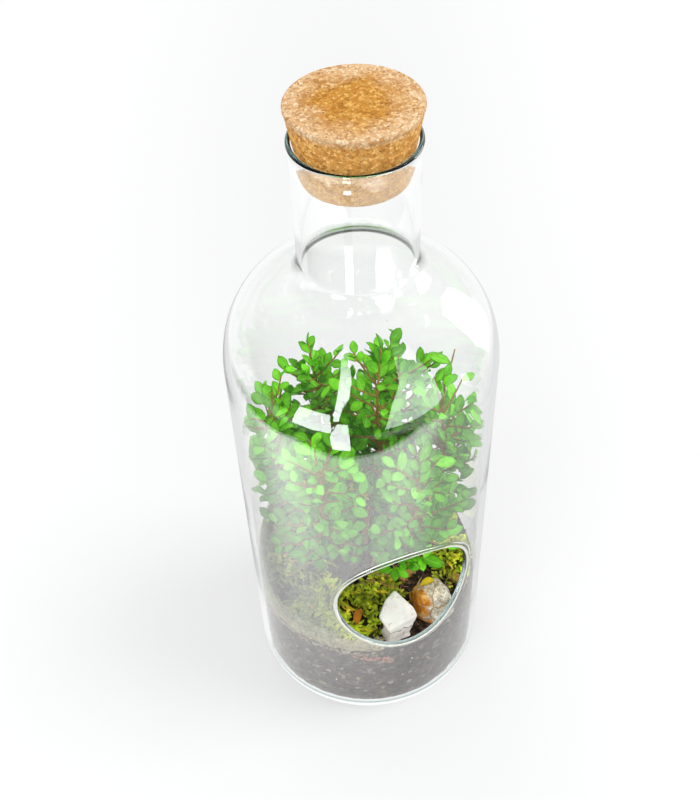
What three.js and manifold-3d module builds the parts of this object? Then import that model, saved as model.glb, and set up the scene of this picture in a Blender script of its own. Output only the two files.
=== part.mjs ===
// A bottle garden: a corked glass bottle with a round port in its side, planted with soil, moss,
// two stones and a small-leaved shrub of seven stems. Millimetres, +Z up. The origin is the middle
// of the base, and the port faces -Y.
import * as THREE from "three";
import { mergeVertices } from "three/addons/utils/BufferGeometryUtils.js";
import Module from "manifold-3d";

const wasm = await Module();
wasm.setup();

// Driving dimensions of the bottle
const BODY_R = 60;
const RIM_Z = 323;
const SHOULDER_Z = 210;
const DOME_RISE = 54;
const DOME_POWER = 2.3;
const WALL = 2.4;
const HEEL_R = 11;
const FOOT_IN_R = 36;
const FLOOR_Z = 5;
const PUNT_RISE = 3;
const NECK_R = 24.8;
const NECK_WALL = 1.9;
const NECK_FILLET = 11;
const LIP_R = 25.7;
const LIP_RISE = 5;
const PORT_HALF_WIDTH = 34;
const PORT_HALF_HEIGHT = 36.8;
const PORT_Z = 101.7;
const PORT_BEAD_R = 1.35;

// Driving dimensions of the cork
const CORK_TOP_Z = 337.5;
const CORK_LENGTH = 31;
const CORK_TOP_R = 26;
const CORK_TAPER = 0.18;
const CORK_BEVEL = 1.1;

// The planting
const GAP = 0.3;
const SOIL_FRONT_Z = 61;
const SOIL_BACK_Z = 69;
const SEGMENTS = 36;
const PLANT_TOP_CLEARANCE = 0.9;
const LEAF_LOWEST_Z = 91.5;
const LEAF_THICK = 0.62;
const LEAF_WIDTH_SHARE = 0.62;
const STEM_DEPTH = 24;
const PORT_KEEP_CLEAR = { halfWidth: 24, back: -48.5, low: 84, high: 129 };

const INNER_R = BODY_R - WALL;
const NECK_IN_R = NECK_R - NECK_WALL;

// Seven stems: where each leaves the soil, the middle of its crown, the height of its tip and the
// height that its side twigs reach up to.
const STEMS = [
  { name: "centre", foot: [1, 5], crown: [7, -3], top: 214, lastTwig: 204, seed: 11 },
  { name: "right", foot: [11, 1], crown: [36, -13], top: 199, lastTwig: 178, seed: 23 },
  { name: "left", foot: [-10, 10], crown: [-39, 14], top: 192, lastTwig: 182, seed: 37 },
  { name: "front_left", foot: [-8, -2], crown: [-30, -23], top: 186, lastTwig: 176, seed: 41 },
  { name: "front_right", foot: [4, -7], crown: [12, -36], top: 174, lastTwig: 164, seed: 59 },
  { name: "back_right", foot: [10, 13], crown: [29, 25], top: 180, lastTwig: 170, seed: 61 },
  { name: "back_left", foot: [-2, 17], crown: [-12, 34], top: 184, lastTwig: 174, seed: 79 },
];

// Twigs with a place of their own: the low ones that hang over the stones behind the port, and the
// bare one that leans out at the top right. Each starts on its stem's axis at a height and runs
// through its points. A leaf has its point's number, heading in degrees, rise and length.
const PLACED_TWIGS = [
  {
    stem: "front_right",
    from: 109,
    through: [[11.5, -30, 104.5], [14.5, -36.5, 100]],
    leaves: [[1, 8, 0.1, 9], [2, -39, -0.1, 12.5], [2, -97, -0.15, 7.5]],
  },
  {
    stem: "front_right",
    from: 112,
    through: [[19, -31, 107], [26.5, -35, 103.5]],
    leaves: [[1, 40, 0.2, 9], [2, -38, -0.05, 8.5]],
  },
  {
    stem: "front_right",
    from: 104,
    through: [[2.5, -29, 101], [1, -36, 97.5]],
    leaves: [[1, -160, 0.05, 10], [2, -104, -0.2, 7], [2, -52, -0.2, 8.5]],
  },
  {
    stem: "front_right",
    from: 107,
    through: [[-3, -27, 103.5], [-9, -31, 99.5]],
    leaves: [[1, 150, 0.2, 9], [2, -40, -0.1, 11]],
  },
  {
    stem: "right",
    from: 180,
    through: [[38, -9, 190], [41, -7, 197], [43, -5.5, 204]],
    leaves: [[2, 150, 0.45, 11]],
  },
];
const STEM_FOOT_R = 2.2;
const STEM_TIP_R = 0.85;
const STEM_STEPS = 8;
const FIRST_TWIG_Z = 97;
const TWIGS_PER_STEM = 7;
const TWIG_R = 1;
const TWIG_STEPS = 3;
const LEAF_SPACING = 8.5;
const LEAF_APART = 3.4;
const LEAF_SHORTEST = 8;
const LEAF_LONGEST = 12;
const LEAF_CUP = 0.18;
const LEAN_TO_LIGHT = -0.22;

const SLIVER = 0.004;

const clamp01 = (t) => Math.min(1, Math.max(0, t));
const smooth = (t) => clamp01(t) ** 2 * (3 - 2 * clamp01(t));
const lerp = (a, b, t) => a + (b - a) * t;

// Seeded draws from 0 to 1, the same on every run.
function drawsFrom(seed) {
  let state = seed * 7919 + 1;
  return () => {
    state = (state * 16807) % 2147483647;
    return state / 2147483647;
  };
}

// Solids and meshes
function solidOf(geometry) {
  const flat = geometry.index ? geometry.toNonIndexed() : geometry.clone();
  const bare = new THREE.BufferGeometry().setAttribute("position", flat.getAttribute("position"));
  const merged = mergeVertices(bare, 1e-4);
  return new wasm.Manifold(
    new wasm.Mesh({
      numProp: 3,
      vertProperties: merged.attributes.position.array,
      triVerts: new Uint32Array(merged.index.array),
    }),
  );
}

// The largest body of a joined or cut solid, without the scraps and slivers that the join left.
function mainBody(solid) {
  const bodies = solid.decompose();
  return bodies.reduce((a, b) => (b.volume() > a.volume() ? b : a)).simplify(SLIVER);
}

function meshOf(name, solid, material) {
  const made = solid.getMesh();
  const positions = new Float32Array(made.numVert * 3);
  for (let i = 0; i < made.numVert; i++) {
    const from = i * made.numProp;
    positions.set(made.vertProperties.subarray(from, from + 3), i * 3);
  }
  const indexed = new THREE.BufferGeometry()
    .setAttribute("position", new THREE.BufferAttribute(positions, 3))
    .setIndex(new THREE.BufferAttribute(made.triVerts, 1));
  const geometry = indexed.toNonIndexed();
  geometry.computeVertexNormals();
  const mesh = new THREE.Mesh(geometry, material);
  mesh.name = name;
  return mesh;
}

// A turned solid about +Z from (radius, height) pairs that run up the outside.
function turned(profile) {
  const points = profile.map(([r, z]) => new THREE.Vector2(r, z));
  return solidOf(new THREE.LatheGeometry(points, SEGMENTS).rotateX(Math.PI / 2));
}

// A closed skin over rings of points, from one end point to the other.
function lofted(start, rings, end) {
  const around = rings[0].length;
  const points = [start, ...rings.flat(), end];
  const faces = [];
  const at = (ring, i) => 1 + ring * around + (i % around);
  const last = points.length - 1;
  for (let i = 0; i < around; i++) {
    faces.push(0, at(0, i), at(0, i + 1));
    for (let ring = 0; ring + 1 < rings.length; ring++) {
      faces.push(at(ring, i), at(ring + 1, i), at(ring + 1, i + 1));
      faces.push(at(ring, i), at(ring + 1, i + 1), at(ring, i + 1));
    }
    faces.push(last, at(rings.length - 1, i + 1), at(rings.length - 1, i));
  }
  const geometry = new THREE.BufferGeometry()
    .setAttribute("position", new THREE.Float32BufferAttribute(points.flat(), 3))
    .setIndex(faces);
  return solidOf(geometry);
}

// The bottle

// Points of the shoulder dome at a wall offset, from the shoulder up to where the neck's fillet
// takes over, then round the fillet to the neck.
function shoulder(offset, steps) {
  const neckR = offset ? NECK_IN_R : NECK_R;
  const filletR = NECK_FILLET + offset;
  const dome = (t) => {
    const r = BODY_R * Math.cos(t) ** (2 / DOME_POWER);
    const z = SHOULDER_Z + DOME_RISE * Math.sin(t) ** (2 / DOME_POWER);
    return [r, z];
  };
  const outward = (t) => {
    const [r0, z0] = dome(t - 1e-4);
    const [r1, z1] = dome(t + 1e-4);
    const length = Math.hypot(r1 - r0, z1 - z0);
    return [(z1 - z0) / length, (r0 - r1) / length];
  };
  const moved = (t, by) => {
    const [r, z] = dome(t);
    const [nr, nz] = outward(t);
    return [r + nr * by, z + nz * by];
  };
  // The fillet's circle touches both the dome and the neck, so its middle lies this far out.
  let meet = 1;
  while (moved(meet, filletR - offset)[0] > neckR + filletR) meet += 0.002;
  const middle = moved(meet, filletR - offset);
  const touch = moved(meet, -offset);
  const points = [];
  for (let i = 0; i <= steps; i++) {
    const t = lerp(0.02, meet, (i / steps) ** 0.9);
    points.push(i ? moved(t, -offset) : [BODY_R - offset, SHOULDER_Z]);
  }
  const from = Math.atan2(touch[1] - middle[1], touch[0] - middle[0]) + 2 * Math.PI;
  for (let i = 1; i <= 3; i++) {
    const a = lerp(from, Math.PI, i / 3);
    points.push([middle[0] + filletR * Math.cos(a), middle[1] + filletR * Math.sin(a)]);
  }
  return points;
}

function heel(radius, middleR, middleZ, steps) {
  return Array.from({ length: steps + 1 }, (_, i) => {
    const a = ((i / steps - 1) * Math.PI) / 2;
    return [middleR + radius * Math.cos(a), middleZ + radius * Math.sin(a)];
  });
}

const INNER_HEEL_R = HEEL_R - WALL;
const INNER_HEEL_Z = FLOOR_Z + INNER_HEEL_R;
const DOME_STEPS = 6;

function bottleProfile() {
  return [
    [0, PUNT_RISE],
    [FOOT_IN_R - 8, PUNT_RISE],
    [FOOT_IN_R, 0],
    ...heel(HEEL_R, BODY_R - HEEL_R, HEEL_R, 3),
    ...shoulder(0, DOME_STEPS),
    [NECK_R, RIM_Z - LIP_RISE],
    [LIP_R, RIM_Z - 2],
    [LIP_R, RIM_Z - 0.8],
    [LIP_R - 0.8, RIM_Z],
    [CORK_SEAT_R + 0.2, RIM_Z],
    [CORK_SEAT_R, RIM_Z - 0.6],
    [NECK_IN_R, RIM_Z - LIP_RISE],
    ...shoulder(WALL, DOME_STEPS).reverse(),
    ...heel(INNER_HEEL_R, INNER_R - INNER_HEEL_R, INNER_HEEL_Z, 3).reverse(),
    [FOOT_IN_R, FLOOR_Z],
    [FOOT_IN_R - 8, FLOOR_Z + PUNT_RISE],
    [0, FLOOR_Z + PUNT_RISE],
  ];
}

// The port's fire-polished edge: a bead along the curve where the hole meets the middle of the wall.
function portBead() {
  const middleR = BODY_R - WALL / 2;
  const path = 32;
  const around = 5;
  const centre = (t) => {
    const x = PORT_HALF_WIDTH * Math.sin(t);
    return new THREE.Vector3(
      x,
      -Math.sqrt(middleR ** 2 - x ** 2),
      PORT_Z + PORT_HALF_HEIGHT * Math.cos(t),
    );
  };
  const points = [];
  for (let i = 0; i < path; i++) {
    const t = (i / path) * 2 * Math.PI;
    const at = centre(t);
    const along = centre(t + 0.01).sub(centre(t - 0.01)).normalize();
    const out = new THREE.Vector3(at.x, at.y, 0).normalize();
    const across = new THREE.Vector3().crossVectors(along, out).normalize();
    for (let j = 0; j < around; j++) {
      const a = (j / around) * 2 * Math.PI;
      const p = at
        .clone()
        .addScaledVector(out, PORT_BEAD_R * Math.cos(a))
        .addScaledVector(across, PORT_BEAD_R * Math.sin(a));
      points.push(p.x, p.y, p.z);
    }
  }
  const faces = [];
  const id = (i, j) => (i % path) * around + (j % around);
  for (let i = 0; i < path; i++) {
    for (let j = 0; j < around; j++) {
      faces.push(id(i, j), id(i + 1, j + 1), id(i + 1, j));
      faces.push(id(i, j), id(i, j + 1), id(i + 1, j + 1));
    }
  }
  const geometry = new THREE.BufferGeometry()
    .setAttribute("position", new THREE.Float32BufferAttribute(points, 3))
    .setIndex(faces);
  return solidOf(geometry);
}

function bottle() {
  const plug = new THREE.CylinderGeometry(1, 1, 30, 32);
  const beside = PORT_BEAD_R / 4;
  plug.scale(PORT_HALF_WIDTH + beside, 1, PORT_HALF_HEIGHT + beside).translate(0, -BODY_R, PORT_Z);
  return mainBody(turned(bottleProfile()).subtract(solidOf(plug)).add(portBead()));
}

// The cork, a plain taper that wedges in the mouth
const corkRadius = (z) => CORK_TOP_R - (CORK_TOP_Z - z) * CORK_TAPER;
const CORK_SEAT_R = corkRadius(RIM_Z) + GAP;

function cork() {
  const foot = CORK_TOP_Z - CORK_LENGTH;
  return turned([
    [0, foot],
    [corkRadius(foot) - CORK_BEVEL, foot],
    [corkRadius(foot + CORK_BEVEL), foot + CORK_BEVEL],
    [corkRadius(CORK_TOP_Z - CORK_BEVEL), CORK_TOP_Z - CORK_BEVEL],
    [CORK_TOP_R - CORK_BEVEL, CORK_TOP_Z],
    [0, CORK_TOP_Z],
  ]);
}

// The ground

// The soil is level at the front, under the stones, and rises to the back.
function soilTop(x, y) {
  return lerp(SOIL_FRONT_Z, SOIL_BACK_Z, smooth((y + 18) / 62));
}

function circleRing(r, heightAt) {
  return Array.from({ length: SEGMENTS }, (_, i) => {
    const a = (i / SEGMENTS) * 2 * Math.PI - Math.PI / 2;
    const x = r * Math.cos(a);
    const y = r * Math.sin(a);
    return [x, y, heightAt(x, y)];
  });
}

function soil() {
  const edge = INNER_R - GAP;
  const lower = INNER_HEEL_R - GAP;
  const side = heel(lower, INNER_R - INNER_HEEL_R, INNER_HEEL_Z, 3).reverse();
  return lofted(
    [0, 0, soilTop(0, 0)],
    [
      ...[18, 30, 44, edge].map((r) => circleRing(r, soilTop)),
      ...side.map(([r, z]) => circleRing(r, () => z)),
      circleRing(FOOT_IN_R, () => FLOOR_Z + GAP),
      circleRing(FOOT_IN_R - 8, () => FLOOR_Z + PUNT_RISE + GAP),
    ],
    [0, 0, FLOOR_Z + PUNT_RISE + GAP],
  );
}

// Moss cushions: an oval footprint each, knobbly on top, lying on the soil.
const MOSS = [
  { name: "front_left", at: [-33, -28], size: [20, 19], rise: 6.5, seed: 3 },
  { name: "left", at: [-38, 13], size: [19, 17], rise: 8, seed: 5 },
  { name: "back", at: [-2, 42], size: [28, 15], rise: 9, seed: 7 },
  { name: "right", at: [40, 19], size: [17, 21], rise: 8, seed: 9 },
  { name: "front_right", at: [43, -18], size: [12, 11], rise: 6, seed: 13 },
  { name: "behind_stones", at: [-3, -25], size: [9.5, 9], rise: 5.5, seed: 17 },
];
const MOSS_AROUND = 22;
const MOSS_RINGS = [0.3, 0.58, 0.82, 1];
const MOSS_EDGE_RISE = 1.6;
const MOSS_KNOB = 0.9;

function mossKnob(x, y, seed) {
  return Math.sin(x * 0.62 + seed) * Math.cos(y * 0.58 + seed * 1.7) * MOSS_KNOB;
}

// A footprint point, kept inside the glass.
function mossPoint(cushion, share, angle) {
  const ripple = 1 + 0.07 * Math.sin(3 * angle + cushion.seed) + 0.05 * Math.sin(7 * angle);
  const x = cushion.at[0] + cushion.size[0] * share * ripple * Math.cos(angle);
  const y = cushion.at[1] + cushion.size[1] * share * ripple * Math.sin(angle);
  const keep = Math.min(1, (INNER_R - 1) / Math.hypot(x, y));
  return [x * keep, y * keep];
}

function mossCushion(cushion) {
  const ring = (share, heightAt) =>
    Array.from({ length: MOSS_AROUND }, (_, i) => {
      const [x, y] = mossPoint(cushion, share, (i / MOSS_AROUND) * 2 * Math.PI);
      return [x, y, heightAt(x, y)];
    });
  const top = (share) => (x, y) => {
    const dome = MOSS_EDGE_RISE + (cushion.rise - MOSS_EDGE_RISE) * (1 - share ** 3);
    return soilTop(x, y) + GAP + dome + mossKnob(x, y, cushion.seed) * (1 - share ** 4);
  };
  const underneath = (x, y) => soilTop(x, y) + GAP;
  const [cx, cy] = mossPoint(cushion, 0, 0);
  return lofted(
    [cx, cy, top(0)(cx, cy)],
    [
      ...MOSS_RINGS.map((share) => ring(share, top(share))),
      ...[0.97, 0.6, 0.3].map((share) => ring(share, underneath)),
    ],
    [cx, cy, underneath(cx, cy)],
  );
}

// A stone is what lies inside a few planes, softened a little. Each plane is a direction and how far
// the stone reaches that way.
function stone({ at, planes, soften, rough, detail }) {
  const ball = new THREE.IcosahedronGeometry(1, detail);
  const position = ball.getAttribute("position");
  const way = new THREE.Vector3();
  const faces = planes.map(([x, y, z, reach]) => [new THREE.Vector3(x, y, z).normalize(), reach]);
  for (let i = 0; i < position.count; i++) {
    way.fromBufferAttribute(position, i).normalize();
    const pull = faces.reduce((sum, [n, reach]) => sum + Math.max(0, way.dot(n) / reach) ** soften, 0);
    const pits = 1 + rough * Math.sin(way.x * 9 + way.y * 5) * Math.cos(way.z * 8 - way.x * 4);
    way.multiplyScalar(pull ** (-1 / soften) * pits);
    position.setXYZ(i, way.x + at[0], way.y + at[1], way.z + at[2]);
  }
  return solidOf(ball).trimByPlane([0, 0, 1], SOIL_FRONT_Z + GAP);
}

// White quartz: broad in the middle, drawn up to a point at the back of its top.
const WHITE_STONE = {
  at: [-1.4, -48.3, 73.6],
  soften: 18,
  rough: 0.02,
  detail: 4,
  planes: [
    [0.85, 0.35, 0.39, 8.2],
    [0.97, 0.02, 0.22, 8.6],
    [0.85, -0.45, -0.25, 8.4],
    [0.1, -1, -0.1, 7.3],
    [-0.95, -0.15, -0.29, 9],
    [-0.78, 0.6, 0.19, 9.4],
    [-0.46, 0.8, 0.38, 10.4],
    [-0.15, -0.55, 0.82, 8.6],
    [0.1, 1, -0.2, 8],
    [0.3, -0.2, -1, 12.4],
  ],
};

// Banded brown stone: a rounder lump.
const BROWN_STONE = {
  at: [18.4, -42.2, 72],
  soften: 10,
  rough: 0.03,
  detail: 4,
  planes: [
    [-1, 0.2, 0.1, 8.6],
    [-0.8, -0.6, 0, 9.8],
    [1, 0.1, 0.1, 9.6],
    [0.45, -0.9, 0, 10.3],
    [-0.1, -1, 0.1, 9.2],
    [0, 1, 0.3, 7.6],
    [0.05, 0.1, 1, 11.6],
    [-0.6, 0.4, 0.7, 10],
    [0.75, 0.3, 0.6, 9.8],
    [0, -0.6, 0.8, 11.5],
    [0, 0, -1, 13],
  ],
};

// Two chips of bark, lying flat.
const BARK_CHIPS = {
  back: {
    at: [15, -19.5, 62.6],
    soften: 12,
    rough: 0.05,
    detail: 2,
    planes: [
      [0.8, 0.6, 0, 6.5],
      [-0.9, -0.4, 0, 6],
      [-0.5, 0.9, 0, 3.2],
      [0.5, -0.9, 0.1, 3],
      [0.1, 0, 1, 1.4],
      [0, 0.1, -1, 1.2],
    ],
  },
  side: {
    at: [38.5, -33, 62.6],
    soften: 12,
    rough: 0.05,
    detail: 2,
    planes: [
      [0.5, -0.9, 0, 4.5],
      [-0.5, 0.9, 0.1, 4.8],
      [0.9, 0.5, 0, 2.6],
      [-0.9, -0.4, 0, 2.8],
      [0, 0.1, 1, 1.3],
      [0.1, 0, -1, 1.2],
    ],
  },
};

// The shrub

const axisAt = (stem, z) => {
  const spread = smooth((z - SOIL_BACK_Z) / 70);
  const sway = 1.6 * smooth((z - SOIL_BACK_Z) / 40);
  return [
    lerp(stem.foot[0], stem.crown[0], spread) + sway * Math.sin(z * 0.07 + stem.seed),
    lerp(stem.foot[1], stem.crown[1], spread) + sway * Math.cos(z * 0.06 + stem.seed),
  ];
};

// The glass's inner radius at a height.
function innerRadiusAt(z) {
  if (z <= SHOULDER_Z) return INNER_R;
  const share = Math.min(1, (z - SHOULDER_Z) / (DOME_RISE - WALL));
  return INNER_R * (1 - share ** DOME_POWER) ** (1 / DOME_POWER);
}

// True where a stem may grow: inside the glass, clear of the port and the stones, and nearer to its
// own axis than to any other stem's by the margin.
function allowed(stem, p, margin) {
  if (p.z < LEAF_LOWEST_Z) return false;
  if (Math.hypot(p.x, p.y) > innerRadiusAt(p.z) - PLANT_TOP_CLEARANCE - margin) return false;
  const port = PORT_KEEP_CLEAR;
  const level = p.z > port.low - margin && p.z < port.high + margin;
  if (level && Math.abs(p.x) < port.halfWidth + margin && p.y < port.back + margin) return false;
  const [ox, oy] = axisAt(stem, p.z);
  const own = (p.x - ox) ** 2 + (p.y - oy) ** 2;
  return STEMS.every((other) => {
    if (other === stem) return true;
    const [x, y] = axisAt(other, p.z);
    const far = (p.x - x) ** 2 + (p.y - y) ** 2;
    return (far - own) / (2 * Math.hypot(x - ox, y - oy)) >= margin;
  });
}

const onAxis = (stem, z) => new THREE.Vector3(...axisAt(stem, z), z);

// A twig's points, growing out and up from the stem until it runs out of room.
function growTwig(stem, z, azimuth, rise, length) {
  const points = [onAxis(stem, z)];
  const way = new THREE.Vector3(Math.cos(azimuth), Math.sin(azimuth), rise).normalize();
  for (let i = 0; i < TWIG_STEPS; i++) {
    way.z += 0.12;
    way.normalize();
    const next = points[i].clone().addScaledVector(way, length / TWIG_STEPS);
    if (!allowed(stem, next, 1.6)) break;
    points.push(next);
  }
  return points;
}

function pointOn(points, distance) {
  let left = distance;
  for (let i = 0; i + 1 < points.length; i++) {
    const step = points[i].distanceTo(points[i + 1]);
    if (left <= step || i + 2 === points.length) {
      const way = points[i + 1].clone().sub(points[i]).normalize();
      return { at: points[i].clone().addScaledVector(way, Math.min(left, step)), way };
    }
    left -= step;
  }
}

const lengthOf = (points) =>
  points.slice(1).reduce((sum, p, i) => sum + p.distanceTo(points[i]), 0);

// Half of a leaf's outline, as shares of its length and its half width, and the spots that are
// checked for room.
const LEAF_OUTLINE = [
  [0, 0.04],
  [0.33, 0.9],
  [0.7, 0.86],
];
const LEAF_SPOTS = [
  [0.4, 0],
  [0.4, 0.9],
  [0.4, -0.9],
  [0.75, 0.8],
  [0.75, -0.8],
  [1, 0],
];

function leafPoint(leaf, u, w) {
  const half = (leaf.length * LEAF_WIDTH_SHARE) / 2;
  const droop = -leaf.droop * u * u * leaf.length;
  const cup = leaf.cup * Math.abs(w) * half;
  return leaf.root
    .clone()
    .addScaledVector(leaf.way, u * leaf.length)
    .addScaledVector(leaf.side, w * half)
    .addScaledVector(leaf.up, droop + cup);
}

function leafEdge(leaf) {
  const right = LEAF_OUTLINE.map(([u, w]) => leafPoint(leaf, u, w));
  const left = LEAF_OUTLINE.map(([u, w]) => leafPoint(leaf, u, -w));
  return { right, left, tip: leafPoint(leaf, 1, 0) };
}

// A leaf on a twig, turned towards its stem's middle until it has room, or null.
function placeLeaf(stem, root, way, facing, draws) {
  const length = lerp(LEAF_SHORTEST, LEAF_LONGEST, draws[0]);
  const droop = lerp(0.02, 0.3, draws[1]);
  const [hx, hy] = axisAt(stem, root.z + 12);
  const home = new THREE.Vector3(hx - root.x, hy - root.y, 8).normalize();
  for (let attempt = 0; attempt < 5; attempt++) {
    const share = attempt * 0.22;
    const bent = way.clone().multiplyScalar(1 - share).addScaledVector(home, share).normalize();
    const side = new THREE.Vector3().crossVectors(bent, facing).normalize();
    const up = new THREE.Vector3().crossVectors(side, bent).normalize();
    const leaf = { root, way: bent, side, up, droop, cup: LEAF_CUP };
    leaf.length = length * (1 - 0.06 * attempt);
    const { right, left, tip } = leafEdge(leaf);
    if ([...right.slice(1), ...left.slice(1), tip].every((p) => allowed(stem, p, LEAF_THICK / 2 + 0.15)))
      return leaf;
  }
  return null;
}

// A stem's placed twigs, and the leaves on them.
function placedTwigs(stem) {
  const twigs = [];
  const leaves = [];
  for (const spec of PLACED_TWIGS.filter((one) => one.stem === stem.name)) {
    const points = [onAxis(stem, spec.from), ...spec.through.map((p) => new THREE.Vector3(...p))];
    twigs.push(points);
    for (const [at, heading, rise, length] of spec.leaves) {
      const a = THREE.MathUtils.degToRad(heading);
      const way = new THREE.Vector3(Math.cos(a), Math.sin(a), rise).normalize();
      const side = new THREE.Vector3().crossVectors(way, new THREE.Vector3(0, 0, 1)).normalize();
      const up = new THREE.Vector3().crossVectors(side, way).normalize();
      const leaf = { root: points[at], way, side, up, droop: 0.12, cup: LEAF_CUP, length };
      leaves.push({ ...leaf, spots: LEAF_SPOTS.map(([u, w]) => leafPoint(leaf, u, w)) });
    }
  }
  return { twigs, leaves };
}

// The twigs of a stem and the leaves on them, alternately left and right, with one at each tip.
function growStem(stem) {
  const draw = drawsFrom(stem.seed);
  const outward = Math.atan2(stem.crown[1] - stem.foot[1], stem.crown[0] - stem.foot[0]);
  const placed = placedTwigs(stem);
  const twigs = [];
  for (let i = 0; i < TWIGS_PER_STEM; i++) {
    const share = (i + draw() * 0.6) / TWIGS_PER_STEM;
    const z = lerp(FIRST_TWIG_Z, stem.lastTwig, share);
    const azimuth = outward + i * 2.4 + (draw() - 0.5) * 0.5;
    const rise = lerp(0, 0.9, (share + draw()) / 2);
    const length = lerp(32, 20, share) * lerp(0.8, 1.1, draw());
    twigs.push(growTwig(stem, z, azimuth, rise, length));
  }
  const tip = [18, 12, 6, 0].map((below) => onAxis(stem, stem.top - 2 - below));
  twigs.push(tip);
  const leaves = placed.leaves;
  for (const twig of twigs) {
    const length = lengthOf(twig);
    const count = Math.floor((length - 3) / LEAF_SPACING) + 1;
    for (let i = 0; i <= count && twig.length > 1; i++) {
      const atTip = i === count;
      const { at, way } = pointOn(twig, atTip ? length - 0.4 : 4 + i * LEAF_SPACING);
      const draws = [draw(), draw(), draw(), draw(), draw()];
      const out = new THREE.Vector3(at.x, at.y, 0).normalize().multiplyScalar(0.35);
      const light = new THREE.Vector3(draws[2] - 0.5, draws[3] - 0.5 + LEAN_TO_LIGHT, 1);
      const facing = out.add(light).normalize();
      const turn = atTip ? (draws[4] - 0.5) * 0.5 : (i % 2 ? 1 : -1) * lerp(0.7, 1.15, draws[4]);
      const leafWay = way.clone().applyAxisAngle(facing, turn).normalize();
      const leaf = placeLeaf(stem, at, leafWay, facing, draws);
      if (!leaf) continue;
      const spots = LEAF_SPOTS.map(([u, w]) => leafPoint(leaf, u, w));
      const near = (a, b) => a.distanceTo(b) < LEAF_APART;
      const crowded = leaves.some((other) => other.spots.some((b) => spots.some((a) => near(a, b))));
      if (!crowded) leaves.push({ ...leaf, spots });
    }
  }
  return { twigs: [...twigs.slice(0, -1), ...placed.twigs], leaves };
}

// A tapered rod through the points, with a sharp end.
function rod(points, fromR, toR, sides) {
  const rings = points.map((p, i) => {
    const ahead = points[Math.min(i + 1, points.length - 1)];
    const behind = points[Math.max(i - 1, 0)];
    const way = ahead.clone().sub(behind).normalize();
    const sideways = new THREE.Vector3(way.y, -way.x, 0.001).normalize();
    const over = new THREE.Vector3().crossVectors(way, sideways);
    const r = lerp(fromR, toR, i / (points.length - 1));
    return Array.from({ length: sides }, (_, j) => {
      const a = (j / sides) * 2 * Math.PI;
      const q = p.clone().addScaledVector(sideways, r * Math.cos(a));
      q.addScaledVector(over, -r * Math.sin(a));
      return [q.x, q.y, q.z];
    });
  });
  const first = points[0];
  const last = points[points.length - 1];
  return lofted([first.x, first.y, first.z], rings, [last.x, last.y, last.z]);
}

// A leaf as a thin blade, with the same triangles on both faces.
function blade(leaf) {
  const { right, left, tip } = leafEdge(leaf);
  const edge = [...right, tip, ...left.reverse()];
  const half = LEAF_THICK / 2;
  const face = (by) => edge.map((p) => p.clone().addScaledVector(leaf.up, by).toArray());
  const points = [...face(half), ...face(-half)];
  const n = edge.length;
  const faces = [];
  for (let i = 0; i < LEAF_OUTLINE.length; i++) {
    const a = i;
    const b = i + 1;
    const c = n - 1 - i;
    const d = n - 2 - i;
    faces.push(a, b, c, n + a, n + c, n + b);
    if (b !== d) faces.push(b, d, c, n + b, n + c, n + d);
  }
  for (let i = 0; i < n; i++) {
    const j = (i + 1) % n;
    faces.push(i, n + j, j, i, n + i, n + j);
  }
  const geometry = new THREE.BufferGeometry()
    .setAttribute("position", new THREE.Float32BufferAttribute(points.flat(), 3))
    .setIndex(faces);
  return solidOf(geometry);
}

function stemPath(stem) {
  const foot = soilTop(...stem.foot) - STEM_DEPTH;
  const path = [new THREE.Vector3(...stem.foot, foot)];
  for (let i = 0; i <= STEM_STEPS; i++) {
    path.push(onAxis(stem, lerp(SOIL_BACK_Z, stem.top, i / STEM_STEPS)));
  }
  return path;
}

function leafyStem(stem) {
  const { twigs, leaves } = growStem(stem);
  const pieces = [rod(stemPath(stem), STEM_FOOT_R, STEM_TIP_R, 6)];
  for (const twig of twigs) {
    if (twig.length > 1) pieces.push(rod(twig, TWIG_R * 1.2, TWIG_R * 0.8, 3));
  }
  for (const leaf of leaves) pieces.push(blade(leaf));
  return mainBody(wasm.Manifold.union(pieces));
}

// The round hole in the ground that a stem stands in.
function stemHole(stem) {
  const hole = new THREE.CylinderGeometry(1, 1, STEM_DEPTH * 2 + 2, 8).rotateX(Math.PI / 2);
  const r = STEM_FOOT_R + GAP + 0.2;
  hole.scale(r, r, 1).translate(...stem.foot, soilTop(...stem.foot));
  return solidOf(hole);
}

// Fallen leaves, a twig and bark, let down from above until each rests on what is under it
const DROP_FROM_Z = 95;
const FALLEN_LEAVES = [
  { name: "yellow", at: [-24.3, -25], turn: -1.13, length: 10, slot: "yellow_leaf" },
  { name: "orange", at: [-15.8, -33], turn: -2.19, length: 10, slot: "orange_leaf" },
  { name: "on_stone", at: [12.5, -41.5], turn: 0.1, length: 8.5, slot: "yellow_leaf" },
];
const FALLEN_TWIG = { from: [-7, -20], to: [5, -29], r: 0.7 };

// Lowers a piece until the gap to the ground under it is GAP.
function settled(piece, ground) {
  let resting = piece;
  for (let i = 0; i < 16; i++) {
    const gap = Math.min(...ground.map((solid) => resting.minGap(solid, 2 * DROP_FROM_Z)));
    resting = resting.translate(0, 0, GAP - gap);
  }
  return resting;
}

function fallenLeaf({ at, turn, length }) {
  const root = new THREE.Vector3(...at, DROP_FROM_Z);
  const way = new THREE.Vector3(Math.cos(turn), Math.sin(turn), 0).normalize();
  const side = new THREE.Vector3().crossVectors(way, new THREE.Vector3(0, 0, 1)).normalize();
  const up = new THREE.Vector3().crossVectors(side, way).normalize();
  return blade({ root, way, side, up, length, droop: 0.12, cup: 0.25 });
}

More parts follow.
